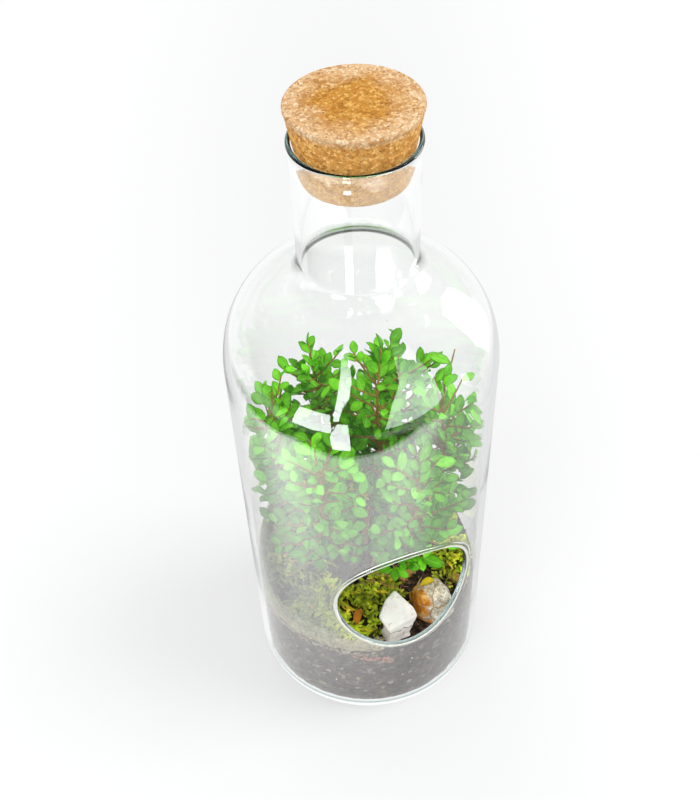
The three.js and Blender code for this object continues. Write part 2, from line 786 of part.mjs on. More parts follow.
function fallenTwig({ from, to, r }) {
  const point = (t, aside) =>
    new THREE.Vector3(lerp(from[0], to[0], t), lerp(from[1], to[1], t) + aside, DROP_FROM_Z);
  return rod([point(0, 0), point(0.35, 0.5), point(0.7, 0.2), point(1, 0.8)], r, r * 0.6, 5);
}

// Finishes
const finish = (color, roughness, extra = {}) =>
  new THREE.MeshStandardMaterial({ color, roughness, metalness: 0, ...extra });
const FINISHES = {
  glass: finish(0xdff0ea, 0.05, { transparent: true, opacity: 0.3 }),
  cork: finish(0xd8a86a, 0.85),
  soil: finish(0x3a2a20, 0.95),
  moss: finish(0x7f9a3a, 0.95),
  white_stone: finish(0xeee9e2, 0.6),
  brown_stone: finish(0xb59a7d, 0.6),
  shrub: finish(0x4f9a35, 0.55),
  yellow_leaf: finish(0xc9c23c, 0.6),
  orange_leaf: finish(0xb5622a, 0.7),
  bark: finish(0x8a5a35, 0.9),
};

const garden = new THREE.Group();
const holes = STEMS.map(stemHole);
const bored = (solid) => mainBody(holes.reduce((left, hole) => left.subtract(hole), solid));

const addPiece = (name, solid, slot) => garden.add(meshOf(name, solid, FINISHES[slot]));

addPiece("glass_bottle", bottle(), "glass");
addPiece("cork_stopper", cork(), "cork");

const ground = [
  { name: "soil_fill", solid: bored(soil()), slot: "soil" },
  ...MOSS.map((cushion) => {
    return { name: `moss_${cushion.name}`, solid: bored(mossCushion(cushion)), slot: "moss" };
  }),
  { name: "white_stone", solid: stone(WHITE_STONE), slot: "white_stone" },
  { name: "brown_stone", solid: stone(BROWN_STONE), slot: "brown_stone" },
];
for (const { name, solid, slot } of ground) addPiece(name, solid, slot);

for (const stem of STEMS) addPiece(`shrub_stem_${stem.name}`, leafyStem(stem), "shrub");

const under = ground.map((piece) => piece.solid);
for (const leaf of FALLEN_LEAVES) {
  addPiece(`fallen_leaf_${leaf.name}`, settled(fallenLeaf(leaf), under), leaf.slot);
}
addPiece("fallen_twig", settled(fallenTwig(FALLEN_TWIG), under), "bark");
for (const [name, chip] of Object.entries(BARK_CHIPS)) {
  addPiece(`bark_chip_${name}`, settled(stone(chip).translate(0, 0, 20), under), "bark");
}

export default garden;
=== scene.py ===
"""Looks of the bottle garden: glass, cork, soil, moss, stones and a leafy shrub round the fixed model.

Shapes are worked out in millimetres, +Z up, with the port facing -Y, and are scaled to metres when
a mesh is made.
"""

import itertools
import math

import bmesh
import bpy
import numpy as np
from mathutils import Matrix, Vector, noise


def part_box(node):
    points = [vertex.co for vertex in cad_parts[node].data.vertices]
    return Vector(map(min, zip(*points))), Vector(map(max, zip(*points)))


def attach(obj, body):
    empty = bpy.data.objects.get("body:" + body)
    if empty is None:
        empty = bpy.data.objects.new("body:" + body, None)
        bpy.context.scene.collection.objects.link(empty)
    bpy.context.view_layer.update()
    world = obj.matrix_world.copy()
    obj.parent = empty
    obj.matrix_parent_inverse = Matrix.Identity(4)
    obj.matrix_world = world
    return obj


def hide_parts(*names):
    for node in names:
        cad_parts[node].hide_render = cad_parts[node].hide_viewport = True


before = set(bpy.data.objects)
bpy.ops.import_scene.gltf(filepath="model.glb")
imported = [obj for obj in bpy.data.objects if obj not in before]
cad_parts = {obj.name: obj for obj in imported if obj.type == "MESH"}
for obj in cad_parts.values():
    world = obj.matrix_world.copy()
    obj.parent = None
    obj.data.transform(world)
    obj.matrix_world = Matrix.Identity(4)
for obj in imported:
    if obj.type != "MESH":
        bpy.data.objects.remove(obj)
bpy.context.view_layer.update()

MM = 0.001
TAU = 2 * math.pi
UP = Vector((0, 0, 1))

# Bottle sizes
BODY_R = 60
RIM_Z = 323
SHOULDER_Z = 210
DOME_RISE = 54
DOME_POWER = 2.3
WALL = 2.4
HEEL_R = 11
FLOOR_Z = 5
PUNT_RISE = 3
NECK_R = 24.8
NECK_WALL = 1.9
NECK_FILLET = 11
LIP_R = 25.7
PORT_HALF_WIDTH = 34
PORT_HALF_HEIGHT = 36.8
PORT_Z = 101.7
PORT_BEAD_R = 1.34
NECK_STRAIGHT_Z = 281
INNER_R = BODY_R - WALL
NECK_IN_R = NECK_R - NECK_WALL
INNER_HEEL_R = HEEL_R - WALL
INNER_HEEL_Z = FLOOR_Z + INNER_HEEL_R

# Cork sizes
CORK_TOP_Z = 337.5
CORK_LENGTH = 31
CORK_TOP_R = 26
CORK_TAPER = 0.18
CORK_BEVEL = 1.1
GAP = 0.3

# Planting sizes
SOIL_FRONT_Z = 61
SOIL_BACK_Z = 69
PLANT_TOP_CLEARANCE = 0.9
LEAF_LOWEST_Z = 91.5
LEAF_THICK = 0.62
LEAF_WIDTH_SHARE = 0.62
LEAF_CUP = 0.18
PORT_CLEAR_HALF_WIDTH = 24
PORT_CLEAR_BACK = -48.5
PORT_CLEAR_LOW = 84
PORT_CLEAR_HIGH = 129
STEM_FOOT_R = 2.2
STEM_TIP_R = 0.85
FIRST_TWIG_Z = 97
TWIG_STEPS = 3
LEAN_TO_LIGHT = -0.22


def clamp01(t):
    return min(1.0, max(0.0, t))


def smooth(t):
    t = clamp01(t)
    return t * t * (3 - 2 * t)


def lerp(a, b, t):
    return a + (b - a) * t


def draws_from(seed):
    """Seeded draws from 0 to 1, the same on every run."""
    state = seed * 7919 + 1

    def draw():
        nonlocal state
        state = (state * 16807) % 2147483647
        return state / 2147483647

    return draw


# Meshes


def make_object(name, points, faces, materials, flat=False, weld=0.0, attributes=None, face_slots=None):
    """An object from points in millimetres, with smooth faces unless flat is asked for."""
    mesh = bpy.data.meshes.new(name)
    mesh.from_pydata([(x * MM, y * MM, z * MM) for x, y, z in points], [], faces)
    for key, values in (attributes or {}).items():
        layer = mesh.attributes.new(key, "FLOAT", "POINT")
        layer.data.foreach_set("value", np.asarray(values, np.float32))
    for material in materials:
        mesh.materials.append(material)
    if face_slots is not None:
        mesh.polygons.foreach_set("material_index", np.asarray(face_slots, np.int32))
    if weld:
        work = bmesh.new()
        work.from_mesh(mesh)
        bmesh.ops.remove_doubles(work, verts=work.verts, dist=weld * MM)
        bmesh.ops.recalc_face_normals(work, faces=work.faces)
        work.to_mesh(mesh)
        work.free()
    mesh.polygons.foreach_set("use_smooth", [not flat] * len(mesh.polygons))
    made = bpy.data.objects.new(name, mesh)
    bpy.context.scene.collection.objects.link(made)
    return made


def settle_piece(piece, slot, *nodes):
    """Ties a finished piece to the garden's one body and hides the solids that it stands for. The slot is
    not used.
    """
    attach(piece, "root")
    if nodes:
        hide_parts(*nodes)
    return piece


def moved_faces(faces, base):
    """The same faces for points that are counted from a base."""
    return [tuple(base + i for i in face) for face in faces]


class Skin:
    """Points, faces and per-point values gathered from many small parts of one piece."""

    def __init__(self, *keys):
        self.points = []
        self.faces = []
        self.face_slots = []
        self.values = {key: [] for key in keys}

    def add(self, points, faces, slot=0, **values):
        base = len(self.points)
        self.points.extend(points)
        self.faces.extend(moved_faces(faces, base))
        self.face_slots.extend([slot] * len(faces))
        for key, store in self.values.items():
            given = values.get(key, 0.0)
            store.extend(given if isinstance(given, (list, np.ndarray)) else [given] * len(points))

    def build(self, name, materials, **options):
        return make_object(
            name,
            self.points,
            self.faces,
            materials,
            attributes=self.values,
            face_slots=self.face_slots,
            **options,
        )


def ring_faces(rows, around):
    """Quads between rings of points that lie one after another."""
    faces = []
    for i in range(rows - 1):
        for j in range(around):
            k = (j + 1) % around
            faces.append((i * around + j, i * around + k, (i + 1) * around + k, (i + 1) * around + j))
    return faces


def closed_faces(rings, around, flip=False):
    """Faces for a first point, rings of points and a last point, with both ends closed by fans."""
    faces = moved_faces(ring_faces(rings, around), 1)
    base = 1 + (rings - 1) * around
    last = base + around
    for j in range(around):
        k = (j + 1) % around
        for fan in ((0, 1 + k, 1 + j), (last, base + j, base + k)):
            faces.append((fan[0], fan[2], fan[1]) if flip else fan)
    return faces


def revolve(profile, around):
    """Closed turned surface about +Z from (radius, height) pairs that start and end on the axis."""
    points = [(0.0, 0.0, profile[0][1])]
    for r, z in profile[1:-1]:
        for j in range(around):
            a = TAU * j / around
            points.append((r * math.sin(a), -r * math.cos(a), z))
    points.append((0.0, 0.0, profile[-1][1]))
    return points, closed_faces(len(profile) - 2, around)


def tube(path, radii, sides):
    """A round rod along a path, closed at both ends."""
    points = []
    for i, p in enumerate(path):
        ahead = path[min(i + 1, len(path) - 1)]
        behind = path[max(i - 1, 0)]
        way = (ahead - behind).normalized()
        aside = Vector((way.y, -way.x, 0.001)).normalized()
        over = way.cross(aside)
        for j in range(sides):
            a = TAU * j / sides
            q = p + aside * (radii[i] * math.cos(a)) - over * (radii[i] * math.sin(a))
            points.append(tuple(q))
    faces = ring_faces(len(path), sides)
    faces.append(tuple(reversed(range(sides))))
    faces.append(tuple((len(path) - 1) * sides + j for j in range(sides)))
    return points, faces


# Node trees


# Sockets of a Mix node that mixes colours: it has others of the same names for numbers and vectors
MIX_FIRST = 6
MIX_SECOND = 7
MIX_RESULT = 2


class Nodes:
    """A node tree, with short calls to place and join nodes."""

    def __init__(self, tree):
        self.tree = tree

    def node(self, kind, **settings):
        made = self.tree.nodes.new(kind)
        for key, value in settings.items():
            setattr(made, key, value)
        return made

    def join(self, source, target):
        self.tree.links.new(source, target)

    def feed(self, socket, value):
        """Sets a socket to a plain value, or joins it where the value is another node's output."""
        if isinstance(value, bpy.types.NodeSocket):
            self.join(value, socket)
        elif socket.type == "RGBA" and len(value) == 3:
            socket.default_value = (*value, 1.0)
        else:
            socket.default_value = value

    def maths(self, operation, a, b=0.0):
        made = self.node("ShaderNodeMath", operation=operation)
        self.feed(made.inputs[0], a)
        self.feed(made.inputs[1], b)
        return made.outputs[0]

    def vector_maths(self, operation, a, b, output="Vector"):
        made = self.node("ShaderNodeVectorMath", operation=operation)
        self.feed(made.inputs[0], a)
        self.feed(made.inputs[1], b)
        return made.outputs[output]

    def place(self):
        """Points in millimetres in the garden's own frame."""
        coordinates = self.node("ShaderNodeTexCoord")
        return self.vector_maths("MULTIPLY", coordinates.outputs["Object"], (1 / MM,) * 3)

    def axes(self, where):
        apart = self.node("ShaderNodeSeparateXYZ")
        self.join(where, apart.inputs["Vector"])
        return apart.outputs

    def grain(self, where, scale, detail=4.0, roughness=0.6, output="Fac"):
        made = self.node("ShaderNodeTexNoise")
        self.join(where, made.inputs["Vector"])
        self.feed(made.inputs["Scale"], scale)
        made.inputs["Detail"].default_value = detail
        made.inputs["Roughness"].default_value = roughness
        return made.outputs[output]

    def cells(self, where, scale, feature="F1", output="Distance"):
        made = self.node("ShaderNodeTexVoronoi", feature=feature)
        self.join(where, made.inputs["Vector"])
        self.feed(made.inputs["Scale"], scale)
        return made.outputs[output]

    def ramp(self, value, stops):
        made = self.node("ShaderNodeValToRGB")
        elements = made.color_ramp.elements
        while len(elements) < len(stops):
            elements.new(0.5)
        for element, (position, colour) in zip(elements, stops):
            element.position = position
            element.color = (*colour, 1.0)
        self.join(value, made.inputs["Fac"])
        return made.outputs["Color"]

    def span(self, value, low, high, to_low=0.0, to_high=1.0):
        """A value between two limits, stretched to two others and held there."""
        made = self.node("ShaderNodeMapRange")
        keys = ("Value", "From Min", "From Max", "To Min", "To Max")
        for key, given in zip(keys, (value, low, high, to_low, to_high)):
            self.feed(made.inputs[key], given)
        return made.outputs["Result"]

    def blend(self, share, a, b):
        made = self.node("ShaderNodeMix", data_type="RGBA")
        self.feed(made.inputs["Factor"], share)
        self.feed(made.inputs[MIX_FIRST], a)
        self.feed(made.inputs[MIX_SECOND], b)
        return made.outputs[MIX_RESULT]

    def shade(self, colour, factor):
        """A colour, or a vector, times a factor."""
        made = self.node("ShaderNodeVectorMath", operation="SCALE")
        self.feed(made.inputs[0], colour)
        self.feed(made.inputs["Scale"], factor)
        return made.outputs["Vector"]

    def ray(self, key):
        return self.node("ShaderNodeLightPath").outputs[key]

    def by_mirrorings(self, never, once, more):
        """One of three values: by how often glass surfaces, inner ones too, sent the ray back."""
        times = self.ray("Glossy Depth")
        return self.span(times, 1.0, 2.0, self.span(times, 0.0, 1.0, never, once), more)


class Effect(Nodes):
    """A shader node group with named inputs and outputs, for an effect that several finishes share."""

    def __init__(self, name, inputs, outputs):
        super().__init__(bpy.data.node_groups.new(name, "ShaderNodeTree"))
        sockets = self.tree.interface
        for key, value in inputs.items():
            made = sockets.new_socket(key, in_out="INPUT", socket_type="NodeSocketFloat")
            made.default_value = value
        for key in outputs:
            sockets.new_socket(key, in_out="OUTPUT", socket_type="NodeSocketFloat")
        self.given = self.node("NodeGroupInput").outputs
        self.results = self.node("NodeGroupOutput").inputs

    def put(self, **values):
        for key, value in values.items():
            self.join(value, self.results[key])


class Shader(Nodes):
    """A material's node tree round its Principled surface."""

    def __init__(self, name):
        self.material = bpy.data.materials.new(name)
        self.material.use_nodes = True
        super().__init__(self.material.node_tree)
        self.surface = self.tree.nodes["Principled BSDF"]
        self.output = self.tree.nodes["Material Output"]

    def effect(self, shared, **values):
        """Places a shared effect with its own values and gives its outputs."""
        made = self.node("ShaderNodeGroup", node_tree=shared.tree)
        for key, value in values.items():
            self.feed(made.inputs[key], value)
        return made.outputs

    def value(self, key):
        return self.node("ShaderNodeAttribute", attribute_name=key).outputs["Fac"]

    def bump(self, height, strength, distance):
        made = self.node("ShaderNodeBump")
        made.inputs["Strength"].default_value = strength
        made.inputs["Distance"].default_value = distance * MM
        self.join(height, made.inputs["Height"])
        self.join(made.outputs["Normal"], self.surface.inputs["Normal"])

    def put(self, **inputs):
        """Feeds the surface's own sockets, named with underscores for spaces."""
        for key, value in inputs.items():
            self.feed(self.surface.inputs[key.replace("_", " ")], value)

    def mix_out(self, share, first, second):
        """Ends the material in a mix of two shaders."""
        mix = self.node("ShaderNodeMixShader")
        self.feed(mix.inputs["Fac"], share)
        self.join(first, mix.inputs[1])
        self.join(second, mix.inputs[2])
        self.join(mix.outputs["Shader"], self.output.inputs["Surface"])

    def light_through(self, colour, share):
        """Ends the material in the surface with a share of light that comes through a thin leaf."""
        glow = self.node("ShaderNodeBsdfTranslucent")
        self.join(colour, glow.inputs["Color"])
        self.mix_out(share, self.surface.outputs["BSDF"], glow.outputs["BSDF"])


# Effects that several finishes share


def mottle_effect():
    """Uneven tone: a factor that wanders from Low to High, and the bare grain for bumps."""
    e = Effect("mottle", {"Scale": 1.0, "Low": 0.7, "High": 1.2}, ["Factor", "Grain"])
    grain = e.grain(e.place(), e.given["Scale"], detail=5.0, roughness=0.65)
    e.put(Factor=e.span(grain, 0.32, 0.68, e.given["Low"], e.given["High"]), Grain=grain)
    return e


def granule_effect():
    """Pressed granules or crumbs: a tone for each one, and how far a point is from a seam."""
    e = Effect("granules", {"Scale": 0.7, "Drift": 1.4}, ["Tone", "Inside"])
    where = e.place()
    drift = e.shade(e.grain(where, 0.5, output="Color"), e.given["Drift"])
    where = e.vector_maths("ADD", where, drift)
    apart = e.node("ShaderNodeSeparateColor")
    e.join(e.cells(where, e.given["Scale"], output="Color"), apart.inputs["Color"])
    edge = e.cells(where, e.given["Scale"], feature="DISTANCE_TO_EDGE")
    e.put(Tone=apart.outputs["Red"], Inside=e.span(edge, 0.0, 0.1))
    return e


def vein_effect():
    """A leaf's midrib and side veins, from where a point lies along and across the blade."""
    e = Effect("leaf_veins", {"Along": 0.0, "Across": 0.0}, ["Veins", "Rim"])
    out = e.maths("ABSOLUTE", e.given["Across"])
    slanted = e.maths("SUBTRACT", e.given["Along"], e.maths("MULTIPLY", out, 0.34))
    wave = e.maths("ABSOLUTE", e.maths("SINE", e.maths("MULTIPLY", slanted, 24.0)))
    side = e.span(wave, 0.0, 0.25, 0.35, 0.0)
    rib = e.span(out, 0.0, 0.09, 1.0, 0.0)
    e.put(Veins=e.maths("MAXIMUM", rib, side), Rim=e.span(out, 0.72, 1.0))
    return e


MOTTLE = mottle_effect()
GRANULES = granule_effect()
VEINS = vein_effect()


# Finishes


def glass_finish(name, colour, roughness, clearness):
    """Bottle glass with a green edge. Lamps shine through it, so the garden inside is lit."""
    s = Shader(name)
    s.put(Base_Color=colour, Roughness=roughness, IOR=1.5, Transmission_Weight=clearness)
    s.bump(s.grain(s.place(), 0.014, detail=1.0), 0.1, 1.6)
    clear = s.node("ShaderNodeBsdfTransparent")
    clear.inputs["Color"].default_value = (0.985, 0.995, 0.99, 1.0)
    s.mix_out(s.ray("Is Shadow Ray"), s.surface.outputs["BSDF"], clear.outputs["BSDF"])
    tint = s.node("ShaderNodeVolumeAbsorption")
    tint.inputs["Color"].default_value = (0.12, 0.7, 0.6, 1.0)
    tint.inputs["Density"].default_value = 2.5
    s.join(tint.outputs["Volume"], s.output.inputs["Volume"])
    return s.material


def cork_finish():
    """Pressed cork: fine tan granules, dark specks and an orange middle that grows paler towards the rim of
    its top. Painted light makes its sides brighter than its top, and a painted reflection makes the part
    inside the neck paler and brighter.
    """
    s = Shader("pressed_cork")
    where = s.place()
    granule = s.effect(GRANULES, Scale=0.78, Drift=1.2)
    middle = s.ramp(
        granule["Tone"],
        [
            (0.0, (0.38, 0.15, 0.022)),
            (0.3, (0.5, 0.22, 0.034)),
            (0.7, (0.6, 0.29, 0.055)),
            (1.0, (0.72, 0.42, 0.12)),
        ],
    )
    edge = s.ramp(
        granule["Tone"],
        [
            (0.0, (0.52, 0.27, 0.1)),
            (0.3, (0.66, 0.4, 0.2)),
            (0.7, (0.74, 0.5, 0.28)),
            (1.0, (0.82, 0.62, 0.4)),
        ],
    )
    # The top grows paler from its middle out towards its rim, along an uneven ring
    level = s.vector_maths("MULTIPLY", where, (1.0, 1.0, 0.0))
    from_axis = s.vector_maths("LENGTH", level, (0, 0, 0), output="Value")
    uneven = s.maths("ADD", from_axis, s.effect(MOTTLE, Scale=0.1, Low=-5.0, High=5.0)["Factor"])
    on_top = s.span(s.axes(where)["Z"], CORK_TOP_Z - 4, CORK_TOP_Z - 0.5, 0.1, 1.0)
    pale = s.maths("MULTIPLY", s.span(uneven, 11.0, 24.0), on_top)
    colour = s.blend(pale, middle, edge)
    fine = s.effect(MOTTLE, Scale=1.7, Low=0.78, High=1.14)
    colour = s.shade(colour, fine["Factor"])
    speck = s.span(s.cells(where, 0.33), 0.07, 0.15)
    colour = s.blend(speck, (0.07, 0.028, 0.012), colour)
    seam = s.span(granule["Inside"], 0.0, 1.0, 0.72, 1.0)
    # Painted reflection: inside the neck the cork is blended towards a pale tan and made 1.8 times
    # brighter, for the table that the neck's glass mirrors over it
    in_neck = s.span(s.axes(where)["Z"], RIM_Z - 1, RIM_Z - 3)
    colour = s.blend(s.maths("MULTIPLY", in_neck, 0.45), colour, (0.68, 0.54, 0.38))
    # Painted light: above the neck the cork's sides are made 1.3 times brighter than its top
    colour = s.shade(colour, s.span(in_neck, 0.0, 1.0, s.span(on_top, 0.1, 1.0, 1.3, 1.0), 1.8))
    s.put(Base_Color=s.shade(colour, seam), Roughness=0.88, Specular_IOR_Level=0.25)
    s.bump(s.maths("ADD", granule["Inside"], fine["Grain"]), 0.6, 0.3)
    return s.material


def soil_finish():
    """Damp potting mix: dark brown crumbs with bark and pale grit."""
    s = Shader("potting_mix")
    crumb = s.effect(GRANULES, Scale=0.5, Drift=2.2)
    browns = s.ramp(
        crumb["Tone"],
        [
            (0.0, (0.012, 0.007, 0.005)),
            (0.5, (0.04, 0.023, 0.014)),
            (0.8, (0.085, 0.05, 0.03)),
            (0.93, (0.15, 0.095, 0.06)),
            (1.0, (0.36, 0.3, 0.23)),
        ],
    )
    mottle = s.effect(MOTTLE, Scale=0.9, Low=0.4, High=1.4)
    damp = s.effect(MOTTLE, Scale=0.25, Low=0.45, High=0.95)
    s.put(Base_Color=s.shade(browns, mottle["Factor"]), Roughness=damp["Factor"])
    s.bump(mottle["Grain"], 0.9, 0.9)
    return s.material


def grit_finish(name, low, high, roughness=0.8):
    """Small loose bits, each of its own tone between two colours."""
    s = Shader(name)
    uneven = s.effect(MOTTLE, Scale=1.8, Low=0.65, High=1.2)
    colour = s.blend(s.value("tone"), low, high)
    s.put(Base_Color=s.shade(colour, uneven["Factor"]), Roughness=roughness)
    s.bump(uneven["Grain"], 0.5, 0.3)
    return s.material


def moss_finish():
    """Moss shoots: near black at the foot, green above, with lime tips and a few orange ones."""
    s = Shader("living_moss")
    height = s.value("height")
    green = s.ramp(
        height,
        [
            (0.0, (0.01, 0.009, 0.003)),
            (0.22, (0.04, 0.05, 0.006)),
            (0.45, (0.3, 0.39, 0.025)),
            (0.75, (0.72, 0.84, 0.04)),
            (1.0, (0.98, 0.97, 0.14)),
        ],
    )
    gold = s.ramp(
        height,
        [(0.0, (0.08, 0.04, 0.004)), (0.35, (0.75, 0.45, 0.02)), (1.0, (1.0, 0.85, 0.12))],
    )
    colour = s.blend(s.span(s.value("tone"), 0.86, 0.97), green, gold)
    patch = s.effect(MOTTLE, Scale=0.085, Low=0.22, High=2.0)
    colour = s.shade(colour, patch["Factor"])
    # Painted reflection: shoots near the glass on the -X side are blended towards a pale grey-green, like
    # the haze of light the wall mirrors
    painted_haze_behind_wall = s.span(s.axes(s.place())["X"], -26, -36, 0.0, 0.75)
    colour = s.blend(s.maths("MULTIPLY", painted_haze_behind_wall, height), colour, (0.5, 0.56, 0.36))
    s.put(Base_Color=s.shade(colour, s.span(s.value("tone"), 0.0, 1.0, 0.62, 1.25)), Roughness=0.6)
    s.light_through(colour, 0.3)
    return s.material


def dry_moss_finish():
    """Moss needles against the glass: dead and straw-coloured low down, grey-green higher up."""
    s = Shader("dry_moss")
    straw = s.ramp(
        s.value("tone"),
        [(0.0, (0.5, 0.36, 0.18)), (0.4, (0.88, 0.75, 0.48)), (1.0, (1.0, 0.95, 0.76))],
    )
    green = s.ramp(
        s.value("tone"),
        [(0.0, (0.14, 0.2, 0.06)), (0.5, (0.42, 0.52, 0.26)), (1.0, (0.7, 0.78, 0.52))],
    )
    needles = s.blend(s.value("green"), straw, green)
    uneven = s.effect(MOTTLE, Scale=0.6, Low=0.75, High=1.1)
    s.put(Base_Color=s.shade(needles, uneven["Factor"]), Roughness=0.8)
    return s.material


def leaf_finish(name, dark, light, vein):
    """A satin leaf whose tone mixes its own random shade with painted light and shade, with paler veins, a
    darker rim and light coming through.
    """
    s = Shader(name)
    veins = s.effect(VEINS, Along=s.value("along"), Across=s.value("across"))
    # Painted light and shade: the tone blends the dark and light greens, lighter where a leaf grows high,
    # far out or just behind the port
    colour = s.blend(s.value("tone"), dark, light)
    colour = s.blend(s.maths("MULTIPLY", veins["Veins"], 0.5), colour, vein)
    colour = s.shade(colour, s.effect(MOTTLE, Scale=0.4, Low=0.8, High=1.15)["Factor"])
    colour = s.shade(colour, s.span(veins["Rim"], 0.0, 1.0, 1.0, 0.5))
    s.put(Base_Color=colour, Roughness=0.4, Specular_IOR_Level=0.28)
    s.light_through(s.vector_maths("MULTIPLY", colour, (1.3, 1.2, 0.6)), 0.27)
    s.bump(s.maths("SUBTRACT", 1.0, veins["Veins"]), 0.35, 0.25)
    return s.material


def twig_finish():
    """Red-brown young bark with pale streaks along it."""
    s = Shader("twig_bark")
    stretched = s.vector_maths("MULTIPLY", s.place(), (2.6, 2.6, 0.5))
    bark = s.ramp(
        s.grain(stretched, 0.6),
        [(0.3, (0.2, 0.115, 0.025)), (0.55, (0.42, 0.25, 0.06)), (0.75, (0.66, 0.47, 0.16))],
    )
    uneven = s.effect(MOTTLE, Scale=1.3, Low=0.75, High=1.15)
    s.put(Base_Color=s.shade(bark, uneven["Factor"]), Roughness=0.65)
    s.bump(s.grain(stretched, 1.2), 0.6, 0.3)
    return s.material


CRACK_Z = 70.8


def white_stone_finish():
    """White quartz with a brown crack low down, a pinker block under it and rusty streaks."""
    s = Shader("white_quartz")
    where = s.place()
    cloud = s.effect(MOTTLE, Scale=0.16, Low=0.88, High=1.05)
    wander = s.effect(MOTTLE, Scale=0.22, Low=-1.1, High=1.1)
    across = s.axes(where)
    level = s.maths("ADD", across["Z"], s.maths("MULTIPLY", across["X"], 0.12))
    level = s.maths("ADD", level, wander["Factor"])
    body = s.blend(s.span(level, CRACK_Z - 0.5, CRACK_Z + 0.5), (0.79, 0.73, 0.66), (0.76, 0.745, 0.68))
    from_crack = s.maths("ABSOLUTE", s.maths("SUBTRACT", level, CRACK_Z))
    body = s.blend(s.span(from_crack, 0.1, 0.7), (0.13, 0.085, 0.055), body)
    streak = s.grain(s.vector_maths("MULTIPLY", where, (0.4, 0.4, 0.11)), 1.0)
    body = s.blend(s.span(streak, 0.6, 0.72, 0.0, 0.75), body, (0.47, 0.3, 0.15))
    s.put(
        Base_Color=s.shade(body, cloud["Factor"]),
        Roughness=0.5,
        Subsurface_Weight=0.1,
        Subsurface_Scale=0.002,
    )
    s.bump(s.effect(MOTTLE, Scale=0.5)["Grain"], 0.45, 0.6)
    return s.material


RUST_SIDE_X = 13.8


def brown_stone_finish():
    """Granular stone: golden rust on its left side, grey and cream on the right."""
    s = Shader("banded_stone")
    where = s.place()
    grains = s.effect(GRANULES, Scale=1.1, Drift=1.2)
    pale = s.ramp(
        grains["Tone"],
        [
            (0.0, (0.36, 0.31, 0.22)),
            (0.3, (0.6, 0.52, 0.37)),
            (0.7, (0.76, 0.7, 0.56)),
            (1.0, (0.92, 0.9, 0.84)),
        ],
    )
    rust = s.ramp(
        s.effect(MOTTLE, Scale=0.22)["Grain"],
        [(0.34, (0.3, 0.08, 0.01)), (0.5, (0.64, 0.24, 0.02)), (0.66, (0.78, 0.5, 0.16))],
    )
    vein = s.span(s.cells(where, 0.07, feature="DISTANCE_TO_EDGE"), 0.0, 0.05)
    pale = s.blend(s.maths("MULTIPLY", vein, 0.9), (0.36, 0.24, 0.12), pale)
    cloud = s.effect(MOTTLE, Scale=0.16, Low=0.6, High=1.2)
    wander = s.effect(MOTTLE, Scale=0.2, Low=-4.0, High=4.0)
    side = s.maths("ADD", s.axes(where)["X"], wander["Factor"])
    side = s.span(side, RUST_SIDE_X - 1.5, RUST_SIDE_X + 2.0)
    s.put(Base_Color=s.blend(side, rust, s.shade(pale, cloud["Factor"])), Roughness=0.8)
    s.put(Specular_IOR_Level=0.2)
    s.bump(s.effect(MOTTLE, Scale=0.9)["Grain"], 0.5, 0.35)
    return s.material


FINISH = {
    "glass": glass_finish("bottle_glass", (0.997, 1.0, 0.999), 0.0, 1.0),
    # Painted highlight: a cream, partly diffuse glass for the port bead's upward band, in place of the
    # rounded edge's bright reflection
    "lip": glass_finish("lip_painted_highlight", (0.98, 0.96, 0.86), 0.25, 0.35),
    "cork": cork_finish(),
    "soil": soil_finish(),
    "crumb": grit_finish("soil_crumbs", (0.014, 0.008, 0.005), (0.13, 0.07, 0.035)),
    "grit": grit_finish("pale_grit", (0.3, 0.24, 0.18), (0.74, 0.7, 0.62)),
    "red_bark": grit_finish("red_bark", (0.24, 0.07, 0.045), (0.6, 0.28, 0.21)),
    "straw": grit_finish("dry_straw", (0.34, 0.2, 0.08), (0.72, 0.58, 0.3)),
    "moss": moss_finish(),
    "dry_moss": dry_moss_finish(),
    "leaf": leaf_finish("shrub_leaf", (0.01, 0.19, 0.003), (0.34, 0.98, 0.04), (0.6, 1.0, 0.28)),
    "yellow_leaf": leaf_finish("yellow_leaf", (0.82, 0.62, 0.02), (0.92, 0.8, 0.08), (0.95, 0.88, 0.35)),
    "orange_leaf": leaf_finish("orange_leaf", (0.66, 0.24, 0.02), (0.84, 0.42, 0.04), (0.85, 0.55, 0.16)),
    "twig": twig_finish(),
    "white_stone": white_stone_finish(),
    "brown_stone": brown_stone_finish(),
}


# Glass bottle

AROUND = 144
DOME_STEPS = 34
FILLET_STEPS = 12
MIDDLE_R = BODY_R - WALL / 2

# The pushed-up middle of the base: radii, and shares of its full rise
PUNT_OUTSIDE = [(0, 1), (12, 1), (22, 0.9), (28, 0.6), (33, 0.16)]
PUNT_INSIDE = [(0, 1), (14, 0.95), (28, 0.6)]

# The wall patch that holds the port
PATCH_COLUMNS = 40
PATCH_ROWS = 24
PATCH_HALF_HEIGHT = 48
PATCH_LOW = PORT_Z - PATCH_HALF_HEIGHT
PATCH_HIGH = PORT_Z + PATCH_HALF_HEIGHT
PATCH_RINGS = 7
PATCH_TURN_WIDTH = 50
BEAD_FOOT = 2.4


